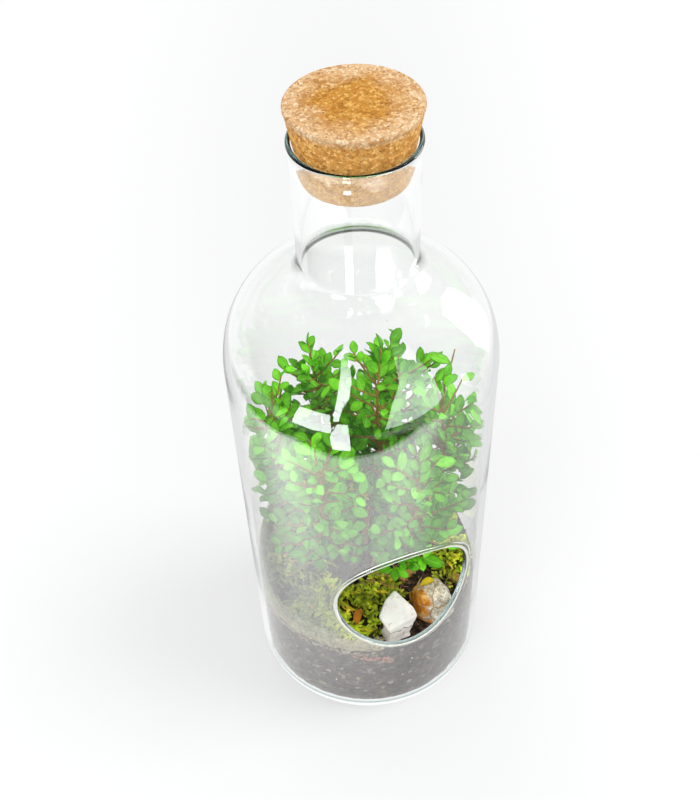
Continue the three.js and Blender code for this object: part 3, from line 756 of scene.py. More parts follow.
def shoulder(offset):
    """The dome at a wall offset, then the fillet up to the neck."""
    neck_r = NECK_IN_R if offset else NECK_R
    fillet_r = NECK_FILLET + offset

    def dome(t):
        return (
            BODY_R * math.cos(t) ** (2 / DOME_POWER),
            SHOULDER_Z + DOME_RISE * math.sin(t) ** (2 / DOME_POWER),
        )

    def moved(t, by):
        r, z = dome(t)
        r0, z0 = dome(t - 1e-4)
        r1, z1 = dome(t + 1e-4)
        length = math.hypot(r1 - r0, z1 - z0)
        return r + (z1 - z0) / length * by, z + (r0 - r1) / length * by

    meet = 1.0
    while moved(meet, fillet_r - offset)[0] > neck_r + fillet_r:
        meet += 0.0005
    middle = moved(meet, fillet_r - offset)
    touch = moved(meet, -offset)
    points = [(BODY_R - offset, SHOULDER_Z)]
    for i in range(1, DOME_STEPS + 1):
        points.append(moved(lerp(0.004, meet, (i / DOME_STEPS) ** 1.05), -offset))
    start = math.atan2(touch[1] - middle[1], touch[0] - middle[0]) + TAU
    for i in range(1, FILLET_STEPS + 1):
        a = lerp(start, math.pi, i / FILLET_STEPS)
        points.append((middle[0] + fillet_r * math.cos(a), middle[1] + fillet_r * math.sin(a)))
    return points


def arc(cx, cz, r, start, end, steps):
    """Points on a circle in (radius, height), angles in degrees, both ends taken."""
    out = []
    for i in range(steps + 1):
        a = math.radians(lerp(start, end, i / steps))
        out.append((cx + r * math.cos(a), cz + r * math.sin(a)))
    return out


def straight(r, z0, z1, steps):
    return [(r, lerp(z0, z1, i / steps)) for i in range(steps + 1)]


def bottle_profile():
    """The glass from under its middle, up outside, over the lip and down inside."""
    lip = LIP_R - NECK_IN_R
    neck_seat = CORK_TOP_R - (CORK_TOP_Z - RIM_Z) * CORK_TAPER + GAP
    rim_r = (LIP_R - neck_seat) / 2
    rim_middle = (LIP_R + neck_seat) / 2
    outer = [(r, PUNT_RISE * share) for r, share in PUNT_OUTSIDE]
    outer += [(36, 0.02), (40, 0.0), (45, 0.0)]
    outer += arc(BODY_R - HEEL_R, HEEL_R, HEEL_R, -90, 0, 12)
    outer += straight(BODY_R, HEEL_R + 6, PATCH_LOW - 6, 6)
    outer += straight(BODY_R, PATCH_LOW, PATCH_HIGH, PATCH_ROWS)
    outer += straight(BODY_R, PATCH_HIGH + 6, SHOULDER_Z - 5, 8)
    outer += shoulder(0)
    outer += straight(NECK_R, NECK_STRAIGHT_Z, RIM_Z - 9, 6)
    outer += [(NECK_R + lip * 0.05, RIM_Z - 7), (NECK_R + 0.35, RIM_Z - 5), (LIP_R - 0.18, RIM_Z - 3)]
    outer += arc(rim_middle, RIM_Z - rim_r, rim_r, -10, 190, 10)
    inner = [(neck_seat - 0.05, RIM_Z - 2), (NECK_IN_R + 0.25, RIM_Z - 4.2), (NECK_IN_R, RIM_Z - 7)]
    inner += straight(NECK_IN_R, RIM_Z - 10, NECK_STRAIGHT_Z, 6)
    inner += list(reversed(shoulder(WALL)))
    inner += straight(INNER_R, SHOULDER_Z - 5, PATCH_HIGH + 6, 8)
    inner += straight(INNER_R, PATCH_HIGH, PATCH_LOW, PATCH_ROWS)
    inner += straight(INNER_R, PATCH_LOW - 6, INNER_HEEL_Z + 5, 6)
    inner += arc(INNER_R - INNER_HEEL_R, INNER_HEEL_Z, INNER_HEEL_R, 0, -90, 10)
    inner += [(45, FLOOR_Z), (36, FLOOR_Z + 0.02)]
    inner += [(r, FLOOR_Z + PUNT_RISE * share) for r, share in reversed(PUNT_INSIDE)]
    return outer + inner


def on_wall(s, z, r):
    """A point of the wall from its arc length along the middle of the wall, height and radius."""
    a = s / MIDDLE_R
    return (r * math.sin(a), -r * math.cos(a), z)


def port_edge(t, off):
    """The port's curve, unrolled, moved outwards by off millimetres."""

    def curve(u):
        x = PORT_HALF_WIDTH * math.sin(u)
        return MIDDLE_R * math.asin(x / MIDDLE_R), PORT_Z + PORT_HALF_HEIGHT * math.cos(u)

    s, z = curve(t)
    s0, z0 = curve(t - 1e-3)
    s1, z1 = curve(t + 1e-3)
    length = math.hypot(s1 - s0, z1 - z0)
    return s - (z1 - z0) / length * off, z + (s1 - s0) / length * off


def patch_border():
    """Points round the wall patch that holds the port, clockwise from its top middle."""
    half = PATCH_COLUMNS // 2
    step = TAU / AROUND * MIDDLE_R
    rows = [(PATCH_HALF_HEIGHT * 2) / PATCH_ROWS * i - PATCH_HALF_HEIGHT for i in range(PATCH_ROWS + 1)]
    border = [(step * i, PATCH_HALF_HEIGHT) for i in range(half)]
    border += [(step * half, z) for z in reversed(rows[1:])]
    border += [(step * i, -PATCH_HALF_HEIGHT) for i in range(half, -half, -1)]
    border += [(-step * half, z) for z in rows[:-1]]
    border += [(step * i, PATCH_HALF_HEIGHT) for i in range(-half, 0)]
    return border


def bead_section():
    """The rim's section: the wall's outer face, the round bead and the wall's inner face."""
    run_in = [(BEAD_FOOT, 1.2), (1.9, 1.2), (1.5, 1.14), (1.15, 1.08), (0.87, 1.1)]
    section = list(run_in)
    for degrees in range(60, 310, 15):
        a = math.radians(degrees)
        section.append((PORT_BEAD_R * math.cos(a), PORT_BEAD_R * math.sin(a)))
    return section + [(off, -rise) for off, rise in reversed(run_in)]


def outside_patch(profile, faces):
    """The turned bottle's faces without those that the port's patch takes the place of."""
    half = PATCH_COLUMNS // 2
    kept = []
    for index, face in enumerate(faces):
        row, column = divmod(index, AROUND)
        if row < len(profile) - 3:
            z_mid = (profile[row + 1][1] + profile[row + 2][1]) / 2
            inside = PATCH_LOW < z_mid < PATCH_HIGH and profile[row + 1][0] > INNER_R - 1
            if inside and (column < half or column >= AROUND - half):
                continue
        kept.append(face)
    return kept


def bottle_mesh():
    profile = bottle_profile()
    points, faces = revolve(profile, AROUND)
    faces = outside_patch(profile, faces)
    border = patch_border()
    around = len(border)
    turns = [math.atan2(s / PATCH_TURN_WIDTH, z / PATCH_HALF_HEIGHT) for s, z in border]
    bead = bead_section()
    # Painted highlight: the bead rows that face up and out take the cream lip finish
    highlight_band = [0.6 < rise and -1.1 < off < 0.6 for off, rise in bead]
    for side in (1, -1):
        base = len(points)
        r = MIDDLE_R + side * WALL / 2
        for ring in range(PATCH_RINGS + 1):
            share = (ring / PATCH_RINGS) ** 1.2
            for (bs, bz), t in zip(border, turns):
                es, ez = port_edge(t, BEAD_FOOT)
                points.append(on_wall(lerp(es, bs, share), lerp(ez, bz + PORT_Z, share), r))
        faces += moved_faces(ring_faces(PATCH_RINGS + 1, around), base)
    base = len(points)
    for off, rise in bead:
        for t in turns:
            s, z = port_edge(t, off)
            points.append(on_wall(s, z, MIDDLE_R + rise))
    clear = [0] * len(faces)
    faces += moved_faces(ring_faces(len(bead), around), base)
    lip = [int(here and ahead) for here, ahead in zip(highlight_band, highlight_band[1:]) for _ in range(around)]
    return points, faces, clear + lip


points, faces, face_slots = bottle_mesh()
glass = make_object(
    "bottle", points, faces, [FINISH["glass"], FINISH["lip"]], weld=0.002, face_slots=face_slots
)
settle_piece(glass, "glass", "glass_bottle")


# Cork

CORK_AROUND = 180
CORK_PIT = 0.28
CORK_SEAM = 0.12


def cork_radius(z):
    return CORK_TOP_R - (CORK_TOP_Z - z) * CORK_TAPER


def cork_mesh():
    foot = CORK_TOP_Z - CORK_LENGTH
    profile = [(0, foot)] + [(r, foot) for r in np.linspace(1, cork_radius(foot) - CORK_BEVEL, 19)]
    profile += arc(cork_radius(foot) - CORK_BEVEL, foot + CORK_BEVEL, CORK_BEVEL, -70, 0, 4)
    for z in np.linspace(foot + CORK_BEVEL + 1, CORK_TOP_Z - CORK_BEVEL - 0.5, 28):
        profile.append((cork_radius(z), z))
    profile += arc(cork_radius(CORK_TOP_Z) - CORK_BEVEL, CORK_TOP_Z - CORK_BEVEL, CORK_BEVEL, 0, 90, 5)
    profile += [(r, CORK_TOP_Z) for r in np.linspace(CORK_TOP_R - CORK_BEVEL - 1, 1, 24)]
    profile += [(0, CORK_TOP_Z)]
    points, faces = revolve(profile, CORK_AROUND)
    pitted = []
    for x, y, z in points:
        near = noise.voronoi(Vector((x, y, z)) * 0.55)[0]
        pit = CORK_PIT * smooth((0.34 - near[0]) / 0.34)
        pit += CORK_SEAM * smooth(1 - (near[1] - near[0]) / 0.12)
        pit *= 0.4 + 0.6 * clamp01(noise.noise(Vector((x, y, z)) * 0.2) + 0.5)
        r = math.hypot(x, y)
        if z > CORK_TOP_Z - 0.01 or z < foot + 0.01:
            pitted.append((x, y, z - math.copysign(pit, z - foot - 1)))
        else:
            pitted.append((x * (1 - pit / r), y * (1 - pit / r), z))
    return pitted, faces


settle_piece(make_object("cork", *cork_mesh(), [FINISH["cork"]]), "cork", "cork_stopper")


# Ground


def behind_glass(points, clearance=0.4):
    """Points with any that reach through the glass pressed back against its inside."""
    held = []
    for x, y, z in points:
        keep = min(1, (INNER_R - clearance) / max(1e-6, math.hypot(x, y)))
        held.append((x * keep, y * keep, z))
    return held


def soil_top(y):
    """The soil's height, which rises from the port's side to the back."""
    return lerp(SOIL_FRONT_Z, SOIL_BACK_Z, smooth((y + 18) / 62))


MOSS = [
    {"name": "front_left", "at": (-33, -28), "size": (20, 19), "rise": 6.5, "seed": 3},
    {"name": "left", "at": (-38, 13), "size": (19, 17), "rise": 8, "seed": 5},
    {"name": "back", "at": (-2, 42), "size": (28, 15), "rise": 9, "seed": 7},
    {"name": "right", "at": (40, 19), "size": (17, 21), "rise": 8, "seed": 9},
    {"name": "front_right", "at": (43, -18), "size": (12, 11), "rise": 6, "seed": 13},
    {"name": "behind_stones", "at": (-3, -25), "size": (9.5, 9), "rise": 5.5, "seed": 17},
]
MOSS_EDGE_RISE = 1.6
MOSS_KNOB = 0.9


def moss_point(cushion, share, angle):
    ripple = 1 + 0.07 * math.sin(3 * angle + cushion["seed"]) + 0.05 * math.sin(7 * angle)
    x = cushion["at"][0] + cushion["size"][0] * share * ripple * math.cos(angle)
    y = cushion["at"][1] + cushion["size"][1] * share * ripple * math.sin(angle)
    keep = min(1, (INNER_R - 1) / max(1e-6, math.hypot(x, y)))
    return x * keep, y * keep


def moss_top(cushion, share, x, y):
    dome = MOSS_EDGE_RISE + (cushion["rise"] - MOSS_EDGE_RISE) * (1 - share**3)
    knob = math.sin(x * 0.62 + cushion["seed"]) * math.cos(y * 0.58 + cushion["seed"] * 1.7)
    return soil_top(y) + GAP + dome + knob * MOSS_KNOB * (1 - share**4)


SOIL_AROUND = 200
SOIL_SIDE_RINGS = 34
SOIL_TOP_RINGS = 44
SOIL_LUMPS = 0.9
SOIL_LOWERED = 0.25
SOIL_HOLLOWS = 0.9


def soil_mesh():
    """Soil from the glass floor up, with hollows at its side and a lumpy, sloping top."""
    edge = INNER_R - GAP
    lower = INNER_HEEL_R - GAP
    profile = [(r, FLOOR_Z + PUNT_RISE * share + GAP) for r, share in PUNT_INSIDE]
    profile += [(36, FLOOR_Z + GAP), (43, FLOOR_Z + GAP)]
    profile += arc(INNER_R - INNER_HEEL_R, INNER_HEEL_Z, lower, -90, 0, 8)
    for z in np.linspace(INNER_HEEL_Z + 1.5, SOIL_FRONT_Z - 1.5, SOIL_SIDE_RINGS):
        profile.append((edge, float(z)))
    for r in np.linspace(edge, 1.2, SOIL_TOP_RINGS):
        profile.append((float(r), SOIL_FRONT_Z))
    profile.append((0, SOIL_FRONT_Z))
    points, faces = revolve(profile, SOIL_AROUND)
    first_top = 1 + (len(profile) - 2 - SOIL_TOP_RINGS) * SOIL_AROUND
    rough = []
    for i, (x, y, z) in enumerate(points):
        p = Vector((x, y, z))
        lump = noise.noise(p * 0.22) * 0.5 + noise.noise(p * 0.55) * 0.35 + noise.noise(p * 1.1) * 0.2
        if i >= first_top:
            rough.append((x, y, soil_top(y) + lump * SOIL_LUMPS - SOIL_LOWERED))
        else:
            back = clamp01(0.35 + lump) * SOIL_HOLLOWS if z > FLOOR_Z + 3 else 0
            r = math.hypot(x, y)
            keep = 1 - back / r if r > 1 else 1
            rough.append((x * keep, y * keep, z))
    return rough, faces


settle_piece(make_object("soil", *soil_mesh(), [FINISH["soil"]]), "soil", "soil_fill")


def lump_corners():
    golden = (1 + math.sqrt(5)) / 2
    corners = []
    for a in (-1, 1):
        for b in (-golden, golden):
            corners += [Vector(corner) for corner in ((0, a, b), (a, b, 0), (b, 0, a))]
    return corners


def lump_faces(corners):
    """Every three corners that are all two apart, wound to face outwards."""
    faces = []
    for i, j, k in itertools.combinations(range(len(corners)), 3):
        a, b, c = corners[i], corners[j], corners[k]
        if all(abs(side.length - 2) < 0.01 for side in (a - b, b - c, a - c)):
            faces.append((i, j, k) if (b - a).cross(c - a).dot(a) > 0 else (i, k, j))
    return faces


LUMP_CORNERS = lump_corners()
LUMP_FACES = lump_faces(LUMP_CORNERS)
LUMP_REACH = 1.9


def lump_points(draw, size, squash=0.8):
    """The corners of an irregular pebble of 20 faces, turned at random."""
    turn = Matrix.Rotation(draw() * TAU, 3, Vector((draw() - 0.5, draw() - 0.5, draw() - 0.4)))
    stretch = Vector((lerp(0.6, 1.3, draw()), lerp(0.6, 1.2, draw()), squash))
    scale = size / LUMP_REACH
    return [turn @ (corner * scale * lerp(0.7, 1.15, draw()) * stretch) for corner in LUMP_CORNERS]


CRUMB_COUNT = 1300
CRUMB_SIZES = (0.5, 1.7)
GRIT_COUNT = 300
GRIT_SIZES = (0.3, 1.1)


def spot_near(middle, spread, draw):
    """A random place in a round patch, and the way to it from the middle."""
    a = draw() * TAU
    r = spread * math.sqrt(draw())
    return middle[0] + r * math.cos(a), middle[1] + r * math.sin(a), a


def on_moss(x, y):
    for cushion in MOSS:
        dx = (x - cushion["at"][0]) / cushion["size"][0]
        dy = (y - cushion["at"][1]) / cushion["size"][1]
        if dx * dx + dy * dy < 0.95:
            return True
    return False


def scatter_crumbs():
    """Loose crumbs on the bare soil."""
    draw = draws_from(97)
    skin = Skin("tone")
    while len(skin.faces) < CRUMB_COUNT * len(LUMP_FACES):
        r = math.sqrt(draw()) * (INNER_R - 2)
        a = draw() * TAU
        x, y = r * math.cos(a), r * math.sin(a)
        size = lerp(*CRUMB_SIZES, draw() ** 2.5)
        tone = draw() ** 2
        shape = lump_points(draw, size)
        if on_moss(x, y):
            continue
        at = Vector((x, y, soil_top(y) + size * 0.1))
        skin.add([tuple(p + at) for p in shape], LUMP_FACES, tone=tone)
    return skin.build("soil_crumbs", [FINISH["crumb"]], flat=True)


def pressed_bit(draw, azimuth, z, size, squash, clearance):
    """The points of a bit that is pressed against the glass from inside."""
    shape = lump_points(draw, size, squash)
    r = INNER_R - 0.3 - size * 0.3
    at = Vector((r * math.cos(azimuth), r * math.sin(azimuth), z))
    return behind_glass([p + at for p in shape], clearance)


def scatter_grit():
    """Pale grit and bark bits pressed against the glass."""
    draw = draws_from(131)
    skin = Skin("tone")
    for _ in range(GRIT_COUNT):
        a = draw() * TAU
        z = lerp(FLOOR_Z + 9, SOIL_FRONT_Z - 1, draw())
        size = lerp(*GRIT_SIZES, draw() ** 4)
        bit = pressed_bit(draw, a, z, size, squash=0.45, clearance=0.2)
        skin.add(bit, LUMP_FACES, tone=draw() ** 2)
    return skin.build("side_grit", [FINISH["grit"]], flat=True)


# Red bark under the moss at the front left: its two ends against the glass, as azimuth and height
RED_BARK_FROM = (-118.5, 57.0)
RED_BARK_TO = (-99.0, 51.0)
RED_BARK_COUNT = 60
RED_BARK_SIZES = (0.5, 1.6)


def red_bark_seam():
    """A thin seam of reddish bark chips pressed against the glass."""
    draw = draws_from(173)
    skin = Skin("tone")
    for i in range(RED_BARK_COUNT):
        t = i / (RED_BARK_COUNT - 1)
        a = math.radians(lerp(RED_BARK_FROM[0], RED_BARK_TO[0], t))
        z = lerp(RED_BARK_FROM[1], RED_BARK_TO[1], t) + (draw() - 0.5) * 4
        size = lerp(*RED_BARK_SIZES, draw())
        bit = pressed_bit(draw, a, z, size, squash=0.6, clearance=0.15)
        skin.add(bit, LUMP_FACES, tone=draw())
    return skin.build("red_bark_seam", [FINISH["red_bark"]], flat=True)


settle_piece(scatter_crumbs(), "soil")
settle_piece(scatter_grit(), "soil")
settle_piece(red_bark_seam(), "soil")


# Moss

SHOOTS_PER_SQUARE_MM = 0.3
SHOOT_HEIGHTS = (1.4, 3.2)
FRONDS_PER_SQUARE_MM = 0.5
FROND_LENGTHS = (4.5, 9.0)
FROND_DROOP = 0.42
FROND_CLEARANCE = 3.2
LEAFLET_WHORLS = 4
FROND_STEPS = 12
CUSHION_AROUND = 72
CUSHION_RINGS = [0.12, 0.25, 0.38, 0.5, 0.62, 0.74, 0.85, 0.94, 1.0]
CUSHION_FOOT_RINGS = (0.98, 0.6)
CUSHION_SINK = 0.8


def moss_body(cushion):
    """The lumpy cushion under the shoots."""
    angles = [TAU * j / CUSHION_AROUND for j in range(CUSHION_AROUND)]
    points = [(*cushion["at"], moss_top(cushion, 0, *cushion["at"]) - CUSHION_SINK)]
    for share in CUSHION_RINGS:
        for angle in angles:
            x, y = moss_point(cushion, share, angle)
            fuzz = noise.noise(Vector((x, y, 0)) * 0.5) * 0.6
            points.append((x, y, moss_top(cushion, share, x, y) - CUSHION_SINK + fuzz * (1 - share)))
    for share in CUSHION_FOOT_RINGS:
        for angle in angles:
            x, y = moss_point(cushion, share, angle)
            points.append((x, y, soil_top(y) + GAP * 0.5))
    points.append((*cushion["at"], soil_top(cushion["at"][1]) + GAP * 0.5))
    rings = len(CUSHION_RINGS) + len(CUSHION_FOOT_RINGS)
    return points, closed_faces(rings, CUSHION_AROUND, flip=True)


def moss_shoot(skin, root, lean, height, tone, draw):
    """An upright shoot: a slim stalk with whorls of leaflets that shorten towards its tip."""
    tip = root + lean * height
    points, faces = tube([root, root.lerp(tip, 0.55), tip], [0.16, 0.12, 0.03], 3)
    skin.add(behind_glass(points), faces, height=[0.05] * 3 + [0.5] * 3 + [1.0] * 3, tone=tone)
    spin = draw() * TAU
    for whorl in range(LEAFLET_WHORLS):
        share = 0.3 + 0.7 * whorl / (LEAFLET_WHORLS - 1)
        for side in range(2):
            a = spin + whorl * 1.9 + side * math.pi
            flare = Vector((math.cos(a), math.sin(a), lerp(0.5, 1.0, share)))
            flare = (flare + lean * 0.6).normalized()
            length = lerp(1.5, 0.75, share) * lerp(0.8, 1.2, draw())
            root_at = root.lerp(tip, share)
            low = 0.15 + 0.6 * share
            leaflet(skin, root_at, flare, flare.cross(UP).normalized(), length, 0.2, low, tone)


def leaflet(skin, root, way, side, length, width, low, tone):
    """A slim pointed leaflet, folded a little along its middle."""
    middle = root + way * (length * 0.4) + UP * (width * 0.25)
    points = [root, middle + side * width, root + way * length, middle - side * width]
    points = behind_glass([tuple(p) for p in points])
    high = min(1.0, low + 0.3)
    skin.add(points, [(0, 1, 2), (0, 2, 3)], height=[low, low + 0.1, high, low + 0.1], tone=tone)


def frond(skin, root, way, length, tone):
    """A feathery shoot: an arching stalk with fine leaflets down both sides."""
    side = way.cross(UP).normalized()
    path = []
    for i in range(FROND_STEPS + 1):
        t = i / FROND_STEPS
        path.append(root + way * (length * t) - UP * (length * FROND_DROOP * t * t))
    path = [Vector(p) for p in behind_glass(path, FROND_CLEARANCE)]
    stalk = path[:: FROND_STEPS // 3]
    points, faces = tube(stalk, [0.16, 0.14, 0.11, 0.05], 3)
    rises = [h for h in (0.1, 0.4, 0.75, 1.0) for _ in range(3)]
    skin.add(behind_glass(points), faces, height=rises, tone=tone)
    for i in range(1, FROND_STEPS + 1):
        t = i / FROND_STEPS
        ahead = (path[i] - path[i - 1]).normalized()
        reach = 1.35 * math.sin(math.pi * lerp(0.25, 0.93, t)) * math.sqrt(length / 6)
        for hand in (-1, 1):
            flare = (side * hand + ahead * 1.0 + UP * 0.15).normalized()
            blade_side = flare.cross(UP).normalized()
            leaflet(skin, path[i], flare, blade_side, reach, 0.15, lerp(0.15, 0.75, t), tone)


def under_fallen_leaf(x, y):
    for name in ("yellow", "orange"):
        low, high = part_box(f"fallen_leaf_{name}")
        if low.x < x * MM < high.x and low.y < y * MM < high.y:
            return True
    return False


def rooted(cushion, draw):
    """A place on a cushion's top, with the share of the way out to its edge."""
    while True:
        share = math.sqrt(draw()) * 0.99
        x, y = moss_point(cushion, share, draw() * TAU)
        if not under_fallen_leaf(x, y):
            return Vector((x, y, moss_top(cushion, share, x, y) - 1.1)), share


def moss_cushion(cushion):
    draw = draws_from(cushion["seed"] + 200)
    skin = Skin("height", "tone")
    points, faces = moss_body(cushion)
    skin.add(points, faces, height=0.12, tone=0.3)
    area = math.pi * cushion["size"][0] * cushion["size"][1]
    for _ in range(int(area * SHOOTS_PER_SQUARE_MM)):
        at, share = rooted(cushion, draw)
        lean = Vector((draw() - 0.5, draw() - 0.5, lerp(1.3, 0.7, share))).normalized()
        moss_shoot(skin, at, lean, lerp(*SHOOT_HEIGHTS, draw()), draw(), draw)
    for _ in range(int(area * FRONDS_PER_SQUARE_MM)):
        at, share = rooted(cushion, draw)
        a = draw() * TAU
        outward = Vector((at.x - cushion["at"][0], at.y - cushion["at"][1], 0)) * (0.05 * share)
        way = Vector((math.cos(a), math.sin(a), lerp(0.5, 1.5, draw()))) + outward
        frond(skin, at, way.normalized(), lerp(*FROND_LENGTHS, draw()), draw() ** 1.4)
    return skin.build(f"moss_{cushion['name']}_shoots", [FINISH["moss"]])


# Loose tufts on the bare soil by the stones: middle, how wide, how many fronds, lowest and highest tone
TUFTS = [
    ((-15.5, -39.5), 4.5, 34, 0.6, 0.86),
    ((-10.5, -43.5), 3.6, 30, 0.7, 0.86),
    ((-8.5, -37.5), 3.4, 22, 0.35, 0.8),
    ((-24.0, -42.5), 4.0, 30, 0.82, 1.0),
    ((-18.5, -45.5), 3.6, 26, 0.78, 1.0),
    ((5.0, -38.0), 3.0, 16, 0.2, 0.7),
    ((31.0, -30.0), 4.5, 26, 0.3, 0.8),
]
TUFT_FROND_LENGTHS = (3.5, 6.0)


def loose_moss():
    draw = draws_from(415)
    skin = Skin("height", "tone")
    for middle, spread, count, low, high in TUFTS:
        for _ in range(count):
            x, y, a = spot_near(middle, spread, draw)
            root = Vector((x, y, soil_top(y) - 0.4))
            way = Vector((math.cos(a), math.sin(a), lerp(0.6, 1.6, draw()))).normalized()
            frond(skin, root, way, lerp(*TUFT_FROND_LENGTHS, draw()), lerp(low, high, draw()))
    return skin.build("loose_moss_tufts", [FINISH["moss"]])


# Needles against the glass: how many, and how far round from the port they go, in degrees
FRINGE_NEEDLES = 6200
FRINGE_ANGLES = (-165, -14)
GREEN_NEEDLES = 4200
GREEN_ANGLES = (-150, -38)
GREEN_HEIGHTS = (3.0, 12.0)
NEEDLE_LENGTHS = (2.0, 5.0)


def pressed_needle(skin, draw, angle, height, green):
    """A moss needle against the glass, fanning up and aside."""
    a = math.radians(angle)
    r = INNER_R - lerp(0.4, 2.4, draw())
    x, y = r * math.sin(a), -r * math.cos(a)
    root = Vector((x, y, soil_top(y) + height))
    along = Vector((math.cos(a), math.sin(a), 0)) * ((draw() - 0.5) * 2.2)
    way = (along + UP * lerp(-0.1, 1.4, draw())).normalized()
    length = lerp(*NEEDLE_LENGTHS, draw())
    bend = UP * (draw() - 0.5) * 1.2
    path = [root, root + way * length * 0.5 + bend * 0.4, root + way * length + bend]
    points, faces = tube(path, [0.13, 0.17, 0.05], 3)
    skin.add(behind_glass(points), faces, tone=draw(), green=green)


def moss_fringe():
    """Dead moss pressed against the glass below the live cushions, and greener needles above it."""
    draw = draws_from(311)
    skin = Skin("tone", "green")
    for _ in range(FRINGE_NEEDLES):
        angle = lerp(*FRINGE_ANGLES, draw())
        thick = smooth((angle + 120) / 90)
        height = lerp(lerp(-2.5, -4.5, thick), lerp(2.5, 6.0, thick), draw())
        pressed_needle(skin, draw, angle, height, 0.3 * draw())
    for _ in range(GREEN_NEEDLES):
        height = lerp(*GREEN_HEIGHTS, draw())
        pressed_needle(skin, draw, lerp(*GREEN_ANGLES, draw()), height, lerp(0.3, 1.0, draw()))
    return skin.build("dry_moss_fringe", [FINISH["dry_moss"]])


for cushion in MOSS:
    settle_piece(moss_cushion(cushion), "moss", f"moss_{cushion['name']}")
settle_piece(loose_moss(), "moss")
settle_piece(moss_fringe(), "moss")


# Stones


def stone_points(at, planes, soften, rough, detail, wear):
    """What lies inside a few planes, softened, with fine wear on its faces."""
    work = bmesh.new()
    bmesh.ops.create_icosphere(work, subdivisions=detail, radius=1)
    faces = [tuple(v.index for v in f.verts) for f in work.faces]
    ways = [v.co.normalized() for v in work.verts]
    work.free()
    held = [(Vector(p[:3]).normalized(), p[3]) for p in planes]
    points = []
    for way in ways:
        pull = sum(max(0, way.dot(n) / reach) ** soften for n, reach in held)
        pits = 1 + rough * math.sin(way.x * 9 + way.y * 5) * math.cos(way.z * 8 - way.x * 4)
        r = pull ** (-1 / soften) * pits
        chip = noise.noise(way * 3.1 + Vector(at)) * 0.5 + noise.noise(way * 8.3) * 0.22
        chip += noise.noise(way * 21) * 0.1
        p = way * (r - wear + wear * chip) + Vector(at)
        points.append((p.x, p.y, max(p.z, SOIL_FRONT_Z + GAP * 0.5)))
    return points, faces


WHITE_AT = (-1.4, -48.3, 73.6)
WHITE_PLANES = [
    (0.85, 0.35, 0.39, 8.2),
    (0.97, 0.02, 0.22, 8.6),
    (0.85, -0.45, -0.25, 8.4),
    (0.1, -1, -0.1, 7.3),
    (-0.95, -0.15, -0.29, 9),
    (-0.78, 0.6, 0.19, 9.4),
    (-0.46, 0.8, 0.38, 10.4),
    (-0.15, -0.55, 0.82, 8.6),
    (0.1, 1, -0.2, 8),
    (0.3, -0.2, -1, 12.4),
]
BLOCK_AT = (-3.0, -50.8, 66.2)
BLOCK_PLANES = [
    (1, 0.1, 0.15, 5.4),
    (-1, -0.1, 0.25, 6.4),
    (0.1, -1, 0.1, 4.0),
    (0, 1, 0, 4),
    (0.15, -0.35, 1, 4.2),
    (0, 0, -1, 6),
]
BROWN_AT = (18.4, -42.2, 72)
BROWN_PLANES = [
    (-1, 0.2, 0.1, 8.6),
    (-0.8, -0.6, 0, 9.8),
    (1, 0.1, 0.1, 9.6),
    (0.45, -0.9, 0, 10.3),
    (-0.1, -1, 0.1, 9.2),
    (0, 1, 0.3, 7.6),
    (0.05, 0.1, 1, 11.6),
    (-0.6, 0.4, 0.7, 10),
    (0.75, 0.3, 0.6, 9.8),
    (0, -0.6, 0.8, 11.5),
    (0, 0, -1, 13),
]


def add_stone(name, node, lumps):
    """A stone of one or more lumps that have grown together."""
    skin = Skin()
    for lump in lumps:
        skin.add(*stone_points(*lump))
    settle_piece(skin.build(name, [FINISH[node]]), node, node)


# Each lump's middle and planes, then how soft, rough, finely divided and worn it is
WHITE_LUMPS = [(WHITE_AT, WHITE_PLANES, 20, 0.02, 6, 0.45), (BLOCK_AT, BLOCK_PLANES, 9, 0.03, 5, 0.5)]
add_stone("white_quartz", "white_stone", WHITE_LUMPS)
add_stone("banded_stone", "brown_stone", [(BROWN_AT, BROWN_PLANES, 10, 0.03, 6, 0.7)])


# Shrub

STEMS = [
    {"name": "centre", "foot": (1, 5), "crown": (7, -3), "top": 214, "last_twig": 204, "seed": 11},
    {"name": "right", "foot": (11, 1), "crown": (36, -13), "top": 199, "last_twig": 178, "seed": 23},
    {"name": "left", "foot": (-10, 10), "crown": (-39, 14), "top": 192, "last_twig": 182, "seed": 37},
    {"name": "front_left", "foot": (-8, -2), "crown": (-30, -23), "top": 186, "last_twig": 176, "seed": 41},
    {"name": "front_right", "foot": (4, -7), "crown": (12, -36), "top": 174, "last_twig": 164, "seed": 59},
    {"name": "back_right", "foot": (10, 13), "crown": (29, 25), "top": 180, "last_twig": 170, "seed": 61},
    {"name": "back_left", "foot": (-2, 17), "crown": (-12, 34), "top": 184, "last_twig": 174, "seed": 79},
]

# Twigs with a place of their own, as in the solid stems: where on the stem each one starts, the
# points that it runs through, and its leaves. A leaf has its point's number, heading in degrees,
# rise and length.
PLACED_TWIGS = {
    "front_right": [
        (
            109,
            [(11.5, -30, 104.5), (14.5, -36.5, 100)],
            [(1, 8, 0.1, 9), (2, -39, -0.1, 12.5), (2, -97, -0.15, 7.5)],
        ),
        (112, [(19, -31, 107), (26.5, -35, 103.5)], [(1, 40, 0.2, 9), (2, -38, -0.05, 8.5)]),
        (
            104,
            [(2.5, -29, 101), (1, -36, 97.5)],
            [(1, -160, 0.05, 10), (2, -104, -0.2, 7), (2, -52, -0.2, 8.5)],
        ),
        (107, [(-3, -27, 103.5), (-9, -31, 99.5)], [(1, 150, 0.2, 9), (2, -40, -0.1, 11)]),
    ],
    "right": [(180, [(38, -9, 190), (41, -7, 197), (43, -5.5, 204)], [(2, 150, 0.45, 11)])],
}

